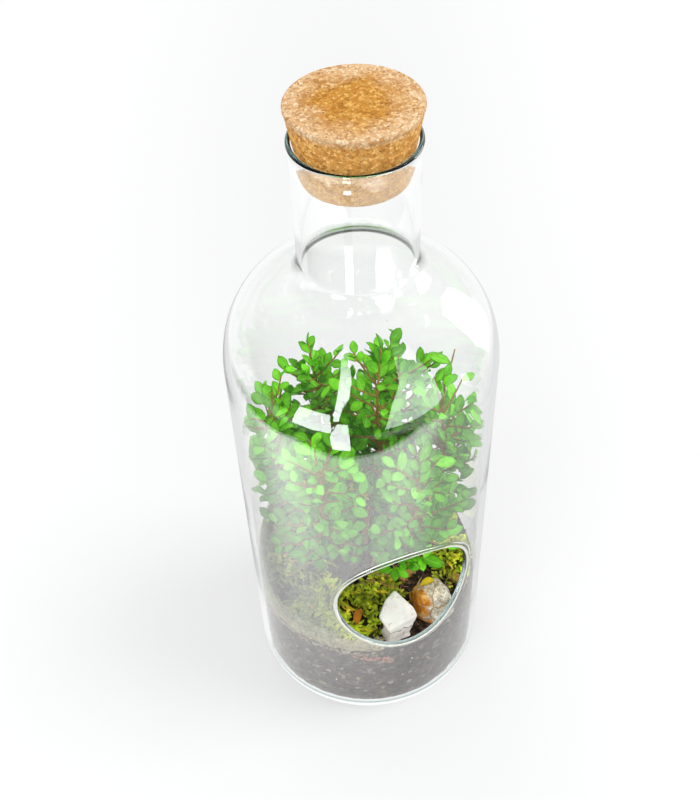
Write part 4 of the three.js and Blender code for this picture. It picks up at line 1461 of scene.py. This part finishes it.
# Side twigs and leaves of the solid stems, then the finer ones that fill in between them
SOLID_TWIGS = {
    "count": 7,
    "stagger": 0.6,
    "lower": 0,
    "start": 0,
    "scatter": 0.5,
    "rise": (0, 0.9),
    "length": (32, 20),
    "vary": (0.8, 1.1),
}
FINER_TWIGS = {
    "count": 44,
    "stagger": 1,
    "lower": 2,
    "start": 1.1,
    "scatter": 0.8,
    "rise": (-0.1, 0.9),
    "length": (34, 18),
    "vary": (0.7, 1.1),
}
SOLID_LEAVES = {"spacing": 8.5, "apart": 3.4, "shortest": 8, "longest": 12}
FINER_LEAVES = {"spacing": 3.5, "apart": 1.35, "shortest": 6, "longest": 9.8}
TWIG_TURN = 2.4
TWIG_MARGIN = 1.6
LEAF_MARGIN = LEAF_THICK / 2 + 0.15
LEAF_STATIONS = 7
LEAF_DROOPS = (0.02, 0.3)
PLACED_LEAF_DROOP = 0.12
LEAF_WAVE = 0.22
LEAF_FOLD = 0.3
STEM_SWAY = 1.6

# How far below a stem's top the points of its last shoot are
LAST_SHOOT = (20, 14, 8, 2)

# Points of a leaf, along and across it: to measure distances from, and to test for room
LEAF_SPOTS = [(0.4, 0), (0.4, 0.9), (0.4, -0.9), (0.75, 0.8), (0.75, -0.8), (1, 0)]
LEAF_CORNERS = [(0.33, 0.9), (0.7, 0.86), (0.33, -0.9), (0.7, -0.86), (1, 0)]


def axis_at(stem, z):
    spread = smooth((z - SOIL_BACK_Z) / 70)
    sway = STEM_SWAY * smooth((z - SOIL_BACK_Z) / 40)
    return (
        lerp(stem["foot"][0], stem["crown"][0], spread) + sway * math.sin(z * 0.07 + stem["seed"]),
        lerp(stem["foot"][1], stem["crown"][1], spread) + sway * math.cos(z * 0.06 + stem["seed"]),
    )


def on_axis(stem, z):
    return Vector((*axis_at(stem, z), z))


def inner_radius_at(z):
    if z <= SHOULDER_Z:
        return INNER_R
    share = min(1, (z - SHOULDER_Z) / (DOME_RISE - WALL))
    return INNER_R * (1 - share**DOME_POWER) ** (1 / DOME_POWER)


def allowed(stem, p, margin):
    """True inside the glass, clear of port and stones, and nearest to the stem's own axis."""
    if p.z < LEAF_LOWEST_Z:
        return False
    if math.hypot(p.x, p.y) > inner_radius_at(p.z) - PLANT_TOP_CLEARANCE - margin:
        return False
    level = PORT_CLEAR_LOW - margin < p.z < PORT_CLEAR_HIGH + margin
    if level and abs(p.x) < PORT_CLEAR_HALF_WIDTH + margin and p.y < PORT_CLEAR_BACK + margin:
        return False
    ox, oy = axis_at(stem, p.z)
    own = (p.x - ox) ** 2 + (p.y - oy) ** 2
    for other in STEMS:
        if other is stem:
            continue
        x, y = axis_at(other, p.z)
        far = (p.x - x) ** 2 + (p.y - y) ** 2
        if (far - own) / (2 * math.hypot(x - ox, y - oy)) < margin:
            return False
    return True


def grow_twig(stem, z, azimuth, rise, length):
    """A twig's points, growing out and up from the stem until it runs out of room."""
    points = [on_axis(stem, z)]
    way = Vector((math.cos(azimuth), math.sin(azimuth), rise)).normalized()
    for i in range(TWIG_STEPS):
        way.z += 0.12
        way.normalize()
        ahead = points[i] + way * (length / TWIG_STEPS)
        if not allowed(stem, ahead, TWIG_MARGIN):
            break
        points.append(ahead)
    return points


def point_on(points, distance):
    """The place and heading at a distance along a path, which stops at the path's end."""
    left = distance
    for a, b in zip(points, points[1:]):
        step = (b - a).length
        if left <= step or b is points[-1]:
            way = (b - a).normalized()
            return a + way * min(left, step), way
        left -= step


def length_of(points):
    return sum((b - a).length for a, b in zip(points, points[1:]))


def leaf_point(leaf, u, w):
    """A point of a living leaf, u along it and w across it, which droops and is a little cupped."""
    half = leaf["length"] * LEAF_WIDTH_SHARE / 2
    lift = LEAF_CUP * abs(w) * half - leaf["droop"] * u * u * leaf["length"]
    return leaf["root"] + leaf["way"] * (u * leaf["length"]) + leaf["side"] * (w * half) + leaf["up"] * lift


def place_leaf(stem, root, way, facing, draws, sizes):
    """A leaf on a twig, turned towards its stem's middle until it has room, or None."""
    length_draw, droop_draw = draws
    length = lerp(sizes["shortest"], sizes["longest"], length_draw)
    hx, hy = axis_at(stem, root.z + 12)
    home = Vector((hx - root.x, hy - root.y, 8)).normalized()
    for attempt in range(5):
        turned = way.lerp(home, attempt * 0.22).normalized()
        side = turned.cross(facing).normalized()
        leaf = {"root": root, "way": turned, "side": side, "up": side.cross(turned).normalized()}
        leaf["droop"] = lerp(*LEAF_DROOPS, droop_draw)
        leaf["length"] = length * (1 - 0.06 * attempt)
        if all(allowed(stem, leaf_point(leaf, u, w), LEAF_MARGIN) for u, w in LEAF_CORNERS):
            return leaf
    return None


def with_spots(leaf):
    """The leaf with the few points that its distance to other leaves is measured from."""
    return {**leaf, "spots": np.array([leaf_point(leaf, u, w) for u, w in LEAF_SPOTS])}


def crowded(leaf, leaves, apart):
    if not leaves:
        return False
    others = np.concatenate([other["spots"] for other in leaves])
    gaps = np.linalg.norm(others[:, None] - leaf["spots"][None], axis=2)
    return gaps.min() < apart


def leaf_twig(stem, twig, sizes, draw, leaves):
    """Sets leaves along a twig, left and right in turn, with one at its tip."""
    if len(twig) < 2:
        return
    length = length_of(twig)
    count = math.floor((length - 3) / sizes["spacing"]) + 1
    for i in range(count + 1):
        at_tip = i == count
        at, way = point_on(twig, length - 0.4 if at_tip else 4 + i * sizes["spacing"])
        length_draw, droop_draw, lean_x, lean_y, turn_draw = [draw() for _ in range(5)]
        out = Vector((at.x, at.y, 0)).normalized() * 0.35
        light = Vector((lean_x - 0.5, lean_y - 0.5 + LEAN_TO_LIGHT, 1))
        facing = (out + light).normalized()
        if at_tip:
            turn = (turn_draw - 0.5) * 0.5
        else:
            turn = (1 if i % 2 else -1) * lerp(0.7, 1.15, turn_draw)
        leaf_way = Matrix.Rotation(turn, 3, facing) @ way
        leaf = place_leaf(stem, at, leaf_way.normalized(), facing, (length_draw, droop_draw), sizes)
        if leaf is None:
            continue
        leaf = with_spots(leaf)
        if not crowded(leaf, leaves, sizes["apart"]):
            leaves.append(leaf)


def placed_twigs(stem):
    """A stem's placed twigs, and the leaves on them."""
    twigs = []
    leaves = []
    for start, through, set_leaves in PLACED_TWIGS.get(stem["name"], []):
        points = [on_axis(stem, start)] + [Vector(p) for p in through]
        twigs.append(points)
        for number, heading, rise, length in set_leaves:
            a = math.radians(heading)
            way = Vector((math.cos(a), math.sin(a), rise)).normalized()
            side = way.cross(UP).normalized()
            leaf = {"root": points[number], "way": way, "side": side, "up": side.cross(way)}
            leaves.append(with_spots({**leaf, "droop": PLACED_LEAF_DROOP, "length": length}))
    return twigs, leaves


def side_twigs(stem, draw, kind):
    """Twigs one above another round a stem, each turned on from the last."""
    foot, crown = stem["foot"], stem["crown"]
    outward = math.atan2(crown[1] - foot[1], crown[0] - foot[0])
    twigs = []
    for i in range(kind["count"]):
        share = (i + draw() * kind["stagger"]) / kind["count"]
        z = lerp(FIRST_TWIG_Z - kind["lower"], stem["last_twig"] - 2 * kind["lower"], share)
        azimuth = outward + kind["start"] + i * TWIG_TURN + (draw() - 0.5) * kind["scatter"]
        rise = lerp(*kind["rise"], (share + draw()) / 2)
        length = lerp(*kind["length"], share) * lerp(*kind["vary"], draw())
        twigs.append(grow_twig(stem, z, azimuth, rise, length))
    return twigs


def grow_stem(stem):
    """The solid stem's own twigs and leaves first, then the finer ones between them."""
    draw = draws_from(stem["seed"])
    placed, leaves = placed_twigs(stem)
    twigs = side_twigs(stem, draw, SOLID_TWIGS)
    twigs.append([on_axis(stem, stem["top"] - below) for below in LAST_SHOOT])
    for twig in twigs:
        leaf_twig(stem, twig, SOLID_LEAVES, draw, leaves)
    finer = draws_from(stem["seed"] + 500)
    twigs += side_twigs(stem, finer, FINER_TWIGS)
    for twig in twigs:
        leaf_twig(stem, twig, FINER_LEAVES, finer, leaves)
    return twigs + placed, leaves


def leaf_half_width(u):
    """Half the blade's width, 1 at its widest, with a short stalk and a round tip."""
    if u < 0.09:
        return 0.06
    share = (u - 0.09) / 0.91
    return max(0.06, 0.95 * (4 * share * (1 - share)) ** 0.68)


LEAF_ACROSS = (-1, -0.55, 0, 0.55, 1)
BLADE_HALF_THICK = 0.14


def painted_light(at):
    """How much painted light a leaf's colour gets: more high up, far out, and low down just behind the
    port.
    """
    share = smooth((at.z - 110) / 85) * 0.35 + smooth((math.hypot(at.x, at.y) - 15) / 35) * 0.3
    return share + smooth((112 - at.z) / 8) * smooth((-26 - at.y) / 8) * 0.2


def leaf_blade(skin, leaf, draw, place=leaf_point):
    """One leaf as a thin closed blade with a folded midrib, a waved rim and fine teeth."""
    # The tone mixes a random share with painted light from where the leaf grows
    tone = clamp01(0.55 * draw() ** 1.5 + painted_light(leaf["root"]))
    phase = draw() * TAU
    top, low, along, side = [], [], [], []
    for k in range(LEAF_STATIONS + 1):
        u = k / LEAF_STATIONS
        width = leaf_half_width(min(u, 0.995)) * (1 + 0.035 * (-1) ** k)
        for v in LEAF_ACROSS:
            wave = LEAF_WAVE * math.sin(u * 9 + phase) * v * v
            fold = -LEAF_FOLD * (1 - abs(v)) ** 2 * math.sin(math.pi * u)
            at = place(leaf, u, v * width) + leaf["up"] * (wave + fold)
            edge = leaf["up"] * (BLADE_HALF_THICK * (1 if abs(v) < 1 else 0.5))
            top.append(tuple(at + edge))
            low.append(tuple(at - edge))
            along.append(u)
            side.append(v)
    n = len(LEAF_ACROSS)
    count = len(top)
    faces = []
    for k in range(LEAF_STATIONS):
        for j in range(n - 1):
            a = k * n + j
            faces.append((a, a + n, a + n + 1, a + 1))
            b = count + a
            faces.append((b, b + 1, b + n + 1, b + n))
        for j, flip in ((0, False), (n - 1, True)):
            a, b = k * n + j, (k + 1) * n + j
            quad = (a, count + a, count + b, b)
            faces.append(tuple(reversed(quad)) if flip else quad)
    for k, flip in ((0, True), (LEAF_STATIONS, False)):
        for j in range(n - 1):
            a = k * n + j
            quad = (a, count + a, count + a + 1, a + 1)
            faces.append(quad if flip else tuple(reversed(quad)))
    skin.add(top + low, faces, along=along * 2, across=side * 2, tone=tone)


def curved(points, steps):
    """A smooth path through points, by halving corners."""
    path = [p.copy() for p in points]
    for _ in range(steps):
        finer = [path[0]]
        for a, b in zip(path, path[1:]):
            finer += [a.lerp(b, 0.25), a.lerp(b, 0.75)]
        path = finer + [path[-1]]
    return path


TRUNK_STEPS = 27
TWIG_RADII = (0.62, 0.3)


def leafy_stem(stem):
    twigs, leaves = grow_stem(stem)
    draw = draws_from(stem["seed"] + 900)
    skin = Skin("along", "across", "tone")
    path = [Vector((*stem["foot"], soil_top(stem["foot"][1]) - 6))]
    for i in range(TRUNK_STEPS):
        path.append(on_axis(stem, lerp(SOIL_BACK_Z, stem["top"], i / (TRUNK_STEPS - 1))))
    radii = []
    for i in range(len(path)):
        r = lerp(STEM_FOOT_R * 0.92, STEM_TIP_R * 0.5, (i / TRUNK_STEPS) ** 0.7)
        radii.append(r * (1 + 0.08 * math.sin(i * 2.3 + stem["seed"])))
    skin.add(*tube(path, radii, 10), 1, tone=0.5)
    for twig in twigs:
        if len(twig) < 2:
            continue
        fine = curved(twig, 2)
        last = len(fine) - 1
        skin.add(*tube(fine, [lerp(*TWIG_RADII, i / last) for i in range(last + 1)], 5), 1, tone=0.5)
    for leaf in leaves:
        leaf_blade(skin, leaf, draw)
    return skin.build(f"shrub_{stem['name']}", [FINISH["leaf"], FINISH["twig"]])


for stem in STEMS:
    settle_piece(leafy_stem(stem), "shrub", f"shrub_stem_{stem['name']}")


# Fallen leaves, twig and bark


def resting_on(points, node):
    """Points shifted so that they stand over the middle of a node, and as low as it does."""
    low, high = (np.array(corner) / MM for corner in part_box(node))
    cloud = np.array(points)
    middle = (cloud.min(0) + cloud.max(0)) / 2
    shift = np.array([*((low + high) / 2 - middle)[:2], low[2] - cloud.min(0)[2]])
    return [tuple(p) for p in cloud + shift]


def rolled_point(leaf, u, w):
    """A point of a dry leaf, whose sides roll up and whose length arches."""
    half = leaf["length"] * leaf["width"] / 2
    aside = half * math.sin(w * leaf["roll"]) / leaf["roll"]
    lift = half * (1 - math.cos(w * leaf["roll"])) / leaf["roll"]
    lift += leaf["arch"] * leaf["length"] * (1 - (2 * u - 1) ** 2)
    swerve = leaf["swerve"] * leaf["length"] * (1 - (2 * u - 1) ** 2)
    return leaf["way"] * (u * leaf["length"]) + leaf["side"] * (aside + swerve) + leaf["up"] * lift


# Each fallen leaf's name, finish, turn and shape
FALLEN_LEAVES = [
    ("yellow", "yellow_leaf", -1.13, (10, 0.42, 1.15, -0.05, 0.16)),
    ("orange", "orange_leaf", -2.19, (10, 0.62, 1.4, 0.1, 0.05)),
    ("on_stone", "yellow_leaf", 0.1, (8.5, 0.55, 0.8, 0.04, -0.06)),
]
FALLEN_LEAF_SHAPE = ("length", "width", "roll", "arch", "swerve")


def fallen_leaf(name, finish, turn, shape):
    way = Vector((math.cos(turn), math.sin(turn), 0))
    leaf = {"root": Vector((0, 0, 0)), "way": way, "side": way.cross(UP), "up": UP}
    leaf.update(zip(FALLEN_LEAF_SHAPE, shape))
    skin = Skin("along", "across", "tone")
    leaf_blade(skin, leaf, draws_from(int(leaf["length"] * 10)), place=rolled_point)
    skin.points = resting_on(skin.points, f"fallen_leaf_{name}")
    return skin.build(f"dropped_leaf_{name}", [FINISH[finish]])


for name, finish, turn, shape in FALLEN_LEAVES:
    settle_piece(fallen_leaf(name, finish, turn, shape), finish, f"fallen_leaf_{name}")

FALLEN_TWIG_FROM = (-7, -20)
FALLEN_TWIG_TO = (5, -29)
FALLEN_TWIG_STEPS = 12
FALLEN_TWIG_RADII = (0.7, 0.4)


def fallen_twig():
    path = []
    for i in range(FALLEN_TWIG_STEPS + 1):
        t = i / FALLEN_TWIG_STEPS
        x = lerp(FALLEN_TWIG_FROM[0], FALLEN_TWIG_TO[0], t)
        y = lerp(FALLEN_TWIG_FROM[1], FALLEN_TWIG_TO[1], t) + 0.5 * math.sin(t * 6)
        path.append(Vector((x, y, 0.15 * math.sin(t * 11))))
    radii = [lerp(*FALLEN_TWIG_RADII, i / FALLEN_TWIG_STEPS) for i in range(FALLEN_TWIG_STEPS + 1)]
    points, faces = tube(path, radii, 8)
    return make_object("dropped_twig", resting_on(points, "fallen_twig"), faces, [FINISH["twig"]])


settle_piece(fallen_twig(), "bark", "fallen_twig")

BARK_PLANES = {
    "back": [
        (0.8, 0.6, 0, 6.5),
        (-0.9, -0.4, 0, 6),
        (-0.5, 0.9, 0, 3.2),
        (0.5, -0.9, 0.1, 3),
        (0.1, 0, 1, 1.4),
        (0, 0.1, -1, 1.2),
    ],
    "side": [
        (0.5, -0.9, 0, 4.5),
        (-0.5, 0.9, 0.1, 4.8),
        (0.9, 0.5, 0, 2.6),
        (-0.9, -0.4, 0, 2.8),
        (0, 0.1, 1, 1.3),
        (0.1, 0, -1, 1.2),
    ],
}
CHIP_AT = (0, 0, 70)
for name, planes in BARK_PLANES.items():
    points, faces = stone_points(CHIP_AT, planes, soften=14, rough=0.05, detail=5, wear=0.4)
    chip = make_object(f"bark_{name}", resting_on(points, f"bark_chip_{name}"), faces, [FINISH["twig"]])
    settle_piece(chip, "bark", f"bark_chip_{name}")


# Straw and bark crumbs: middle of the patch, how wide, how many
LITTER_PATCHES = [((12, -24), 9, 26), ((-2, -24), 6, 14), ((-20, -36), 8, 10), ((34, -30), 6, 12)]
LITTER_ON_MOSS = 5.5
LITTER_ON_SOIL = 0.7
STRAW_LENGTHS = (2.5, 6.5)
STRAW_RADII = (0.16, 0.42)


def loose_litter():
    """Short straws and bark splinters that lie on the soil and moss behind the port."""
    draw = draws_from(607)
    skin = Skin("tone")
    for middle, spread, count in LITTER_PATCHES:
        for i in range(count):
            x, y, _ = spot_near(middle, spread, draw)
            lie = draw() * math.pi
            way = Vector((math.cos(lie), math.sin(lie), lerp(-0.05, 0.25, draw())))
            root = Vector((x, y, soil_top(y) + (LITTER_ON_MOSS if on_moss(x, y) else LITTER_ON_SOIL)))
            length = lerp(*STRAW_LENGTHS, draw())
            thick = lerp(*STRAW_RADII, draw() ** 2)
            path = [root, root + way * length * 0.5 + UP * 0.3, root + way * length]
            points, faces = tube(path, [thick, thick * 0.9, thick * 0.4], 4)
            skin.add(behind_glass(points), faces, i % 3 == 0, tone=draw())
    return skin.build("loose_litter", [FINISH["straw"], FINISH["red_bark"]])


settle_piece(loose_litter(), "bark")


# Studio: table, mirrored cards, lights, camera

TABLE_HALF_SIZE = 6000

# The level way from the bottle to the front edge of the mirrored table, and the way along that edge
TABLE_AHEAD = (-0.584, -0.811, 0.0)
TABLE_ASIDE = (0.811, -0.584, 0.0)

# The camera stands this far round the bottle from straight ahead
VIEW_TURN = math.radians(19.7)

# The table's own light, with painted shade: it is dimmer in a soft pool behind the bottle. In a tuple of
# four, here and below, the first two are a span's limits and the last two what it is stretched to.
POOL_MIDDLE = (0, 350, 0)
POOL_SQUASH = (1, 0.35, 0)
POOL_LIGHT = (70, 300, 0.54, 0.655)

# The table as the glass mirrors it: where it ends, how bright it is near the bottle, further ahead
# and to either side, what is mirrored past its edges, and what the neck mirrors evenly instead
TABLE_FRONT = 245
TABLE_LEFT = -285
VEIL_START = (60, 150)
VEIL_BEFORE = (-40, 60, 0.75, 1.1)
VEIL_ASIDE = (50, 170, 2.7, 3.5)
IN_NECK_AHEAD = (455, 445)
IN_NECK_REACH = (0.45, 0.462)
PAST_TABLE = 0.1

MIRROR_MIDDLE_Z = 225
MIRROR_R = 480
LOWEST_CARD_Z = 12
SEEN_THROUGH_GLASS = 1.04
MIRRORED_AGAIN = 0.86
AIR_LIGHT = 0.62
AIR_MIRRORED = (-0.35, 0.2, 0.88, 0.12)
CARD_COLOUR = (0.96, 0.98, 1.0)
REACH_BLUR = 0.003


def table_top():
    """A white table: seen by the camera, seen through glass, or mirrored as far as its near edges."""
    s = Shader("studio_table")
    where = s.place()
    turned = s.node("ShaderNodeVectorRotate", rotation_type="Z_AXIS")
    s.join(where, turned.inputs["Vector"])
    turned.inputs["Angle"].default_value = VIEW_TURN
    # Painted shade: the table's glow is dimmer in a soft pool behind the bottle, squashed along the view
    pool = s.vector_maths("SUBTRACT", turned.outputs["Vector"], POOL_MIDDLE)
    pool = s.vector_maths("MULTIPLY", pool, POOL_SQUASH)
    away = s.vector_maths("LENGTH", pool, (0, 0, 0), output="Value")
    s.put(Base_Color=(0.3, 0.3, 0.3), Roughness=1.0, Specular_IOR_Level=0.0)
    s.put(Emission_Color=(1.0, 1.0, 1.0), Emission_Strength=s.span(away, *POOL_LIGHT))
    ahead = s.vector_maths("DOT_PRODUCT", where, TABLE_AHEAD, output="Value")
    before_edge = s.span(ahead, TABLE_FRONT + 2, TABLE_FRONT - 2)
    inside_left = s.span(s.axes(where)["X"], TABLE_LEFT - 6, TABLE_LEFT + 6)
    on_table = s.maths("MINIMUM", before_edge, inside_left)
    aside = s.maths("ABSOLUTE", s.vector_maths("DOT_PRODUCT", where, TABLE_ASIDE, output="Value"))
    veil = s.span(ahead, *VEIL_START, s.span(ahead, *VEIL_BEFORE), s.span(aside, *VEIL_ASIDE))
    mirrored = s.maths("MULTIPLY", on_table, veil)
    from_neck = s.span(s.ray("Ray Length"), *IN_NECK_REACH)
    in_neck = s.maths("MULTIPLY", from_neck, s.span(ahead, *IN_NECK_AHEAD))
    mirrored = s.span(in_neck, 0.0, 1.0, s.maths("MAXIMUM", mirrored, PAST_TABLE), 1.0)
    strength = s.by_mirrorings(SEEN_THROUGH_GLASS, mirrored, MIRRORED_AGAIN)
    glow = s.node("ShaderNodeEmission")
    s.feed(glow.inputs["Strength"], strength)
    s.mix_out(s.ray("Is Camera Ray"), glow.outputs["Emission"], s.surface.outputs["BSDF"])
    s.material.cycles.emission_sampling = "NONE"
    edge = TABLE_HALF_SIZE
    corners = [(-edge, -edge, 0), (edge, -edge, 0), (edge, edge, 0), (-edge, edge, 0)]
    return make_object("studio_table", corners, [(0, 1, 2, 3)], [s.material])


table_top()

# Bright cards and windows that show only as mirror images in the glass. Each row gives two corners
# as elevation and azimuth in degrees, seen from the bottle's axis at the height of its shoulder,
# and a glow. A reach in metres keeps a card out of glass that mirrors it from further off, and no
# card shows in the bottle's far wall.
CARDS = {
    "strip": {
        "power": 20,
        "reach": 0.432,
        "rows": [
            ((68, -146), (68, -134), 0),
            ((52, -132), (52, -123), 0.25),
            ((33, -128), (33, -118), 0.9),
            ((15, -128), (15, -119), 1),
            ((3, -129), (3, -124), 1),
            ((-10, -130), (-10, -126), 1),
        ],
    },
    "strip_foot": {
        "power": 18,
        "reach": 0.442,
        "rows": [
            ((-12, -127), (-12, -120), 1),
            ((-26, -133), (-26, -119), 1),
            ((-36, -132), (-36, -119), 1),
        ],
    },
    "left_card": {"power": 18, "rows": [((-4, -154), (-4, -132), 1), ((-22, -160), (-22, -131), 1)]},
    "soft_panel": {
        "power": 10,
        "reach": 0.44,
        "rows": [
            ((63, -65), (59, -50), 0),
            ((46, -75), (36, -56), 0.35),
            ((22, -81), (5, -54), 1),
            ((5, -89), (-9, -52), 1),
            ((-18, -95), (-12, -56), 0.8),
        ],
    },
    "window": {
        "power": 6,
        "reach": 0.454,
        "rows": [
            ((35, 10), (25, 19), 1),
            ((36, -6), (7, 16), 1),
            ((18, -12), (-15, 18), 1),
            ((-4, -10), (-23, 3), 1),
        ],
    },
    "far_lamp": {"power": 14, "rows": [((50, -10), (48, -8), 1), ((47, -23), (45, -19), 1)]},
    "low_lamp": {"power": 10, "rows": [((-5, -33), (-8, -28), 1), ((-13, -33), (-16.5, -26), 1)]},
}


def card_point(elevation, azimuth):
    up = math.sin(math.radians(elevation))
    level = math.cos(math.radians(elevation))
    reach = min(MIRROR_R, (MIRROR_MIDDLE_Z - LOWEST_CARD_Z) / max(1e-6, -up))
    a = math.radians(azimuth)
    return (reach * level * math.cos(a), reach * level * math.sin(a), MIRROR_MIDDLE_Z + reach * up)


def mirrored_card(name, power, rows, reach=0.46):
    s = Shader(name)
    glow = s.node("ShaderNodeEmission")
    s.feed(glow.inputs["Color"], CARD_COLOUR)
    front_wall = s.span(s.ray("Transmission Depth"), 2.0, 3.0, 1.0, 0.0)
    near = s.span(s.ray("Ray Length"), reach + REACH_BLUR, reach - REACH_BLUR)
    strength = s.maths("MULTIPLY", s.value("glow"), s.maths("MULTIPLY", front_wall, near))
    s.feed(glow.inputs["Strength"], s.maths("MULTIPLY", strength, power))
    s.join(glow.outputs["Emission"], s.output.inputs["Surface"])
    s.material.cycles.emission_sampling = "NONE"
    skin = Skin("glow")
    points = []
    glows = []
    for left, right, bright in rows:
        points += [card_point(*left), card_point(*right)]
        glows += [bright, bright]
    faces = [(i, i + 1, i + 3, i + 2) for i in range(0, len(points) - 2, 2)]
    skin.add(points, faces, glow=glows)
    card = skin.build(name, [s.material])
    card.visible_camera = False
    card.visible_diffuse = False
    card.visible_transmission = False
    card.visible_shadow = False
    return card


for name, card in CARDS.items():
    mirrored_card(name, **card)


def soft_light(name, at, aim, size, power, colour=(1, 1, 1)):
    lamp = bpy.data.lights.new(name, "AREA")
    lamp.shape = "RECTANGLE"
    lamp.size, lamp.size_y = size
    lamp.energy = power
    lamp.color = colour
    made = bpy.data.objects.new(name, lamp)
    made.location = at
    made.rotation_euler = (Vector(aim) - Vector(at)).to_track_quat("-Z", "Y").to_euler()
    made.visible_camera = False
    made.visible_glossy = False
    made.visible_transmission = False
    bpy.context.scene.collection.objects.link(made)


soft_light("key", (0.9, -0.3, 1.5), (0, 0, 0.12), (0.7, 0.7), 18)
soft_light("fill", (-1.1, -0.7, 1.2), (0, 0, 0.1), (1.0, 1.0), 10, (0.95, 0.97, 1.0))
soft_light("back", (-0.2, 1.2, 1.3), (0, 0, 0.15), (1.2, 0.8), 6)


def studio_air():
    """Even pale air, which the glass mirrors as a dim room towards the camera and a pale one behind."""
    world = bpy.data.worlds.new("studio_air")
    bpy.context.scene.world = world
    world.use_nodes = True
    air = Nodes(world.node_tree)
    way = air.node("ShaderNodeTexCoord").outputs["Generated"]
    ahead = air.vector_maths("DOT_PRODUCT", way, TABLE_AHEAD, output="Value")
    mirrored = air.span(ahead, *AIR_MIRRORED)
    sky = world.node_tree.nodes["Background"]
    sky.inputs["Color"].default_value = (0.98, 0.99, 1.0, 1.0)
    straight = air.span(air.ray("Is Glossy Ray"), 0.0, 1.0, AIR_LIGHT, SEEN_THROUGH_GLASS)
    air.feed(sky.inputs["Strength"], air.by_mirrorings(straight, mirrored, MIRRORED_AGAIN))


studio_air()

CAMERA_AT = (-117.0, -326.8, 552.06)
CAMERA_PITCH = 0.8164
CAMERA_YAW = -0.0162
CAMERA_ROLL = -0.0406
CAMERA_LENS = 50.0
CAMERA_SENSOR = 36.0


def studio_camera():
    """The photograph's view: the fitted tilt, turned about the bottle's axis to face the port."""
    ahead = Vector(
        (
            math.sin(CAMERA_YAW) * math.cos(CAMERA_PITCH),
            math.cos(CAMERA_YAW) * math.cos(CAMERA_PITCH),
            -math.sin(CAMERA_PITCH),
        )
    )
    right = ahead.cross(Vector((0, 0, 1))).normalized()
    up = right.cross(ahead)
    rolled_right = right * math.cos(CAMERA_ROLL) + up * math.sin(CAMERA_ROLL)
    rolled_up = up * math.cos(CAMERA_ROLL) - right * math.sin(CAMERA_ROLL)
    basis = Matrix((rolled_right, rolled_up, -ahead)).transposed()
    basis = Matrix.Rotation(-VIEW_TURN, 3, "Z") @ basis
    data = bpy.data.cameras.new("studio_camera")
    data.lens = CAMERA_LENS
    data.sensor_width = CAMERA_SENSOR
    data.clip_start = 0.01
    data.clip_end = 50.0
    made = bpy.data.objects.new("studio_camera", data)
    made.rotation_mode = "QUATERNION"
    made.rotation_quaternion = basis.to_quaternion()
    made.location = Vector(CAMERA_AT) * MM
    bpy.context.scene.collection.objects.link(made)
    bpy.context.scene.camera = made


studio_camera()

# Fewer turns leave black rings in the glass
RAY_BOUNCES = 24

scene = bpy.context.scene
scene.view_settings.view_transform = "Standard"
scene.cycles.use_denoising = True
scene.cycles.max_bounces = RAY_BOUNCES
scene.cycles.glossy_bounces = RAY_BOUNCES
scene.cycles.transmission_bounces = RAY_BOUNCES
scene.cycles.transparent_max_bounces = 32
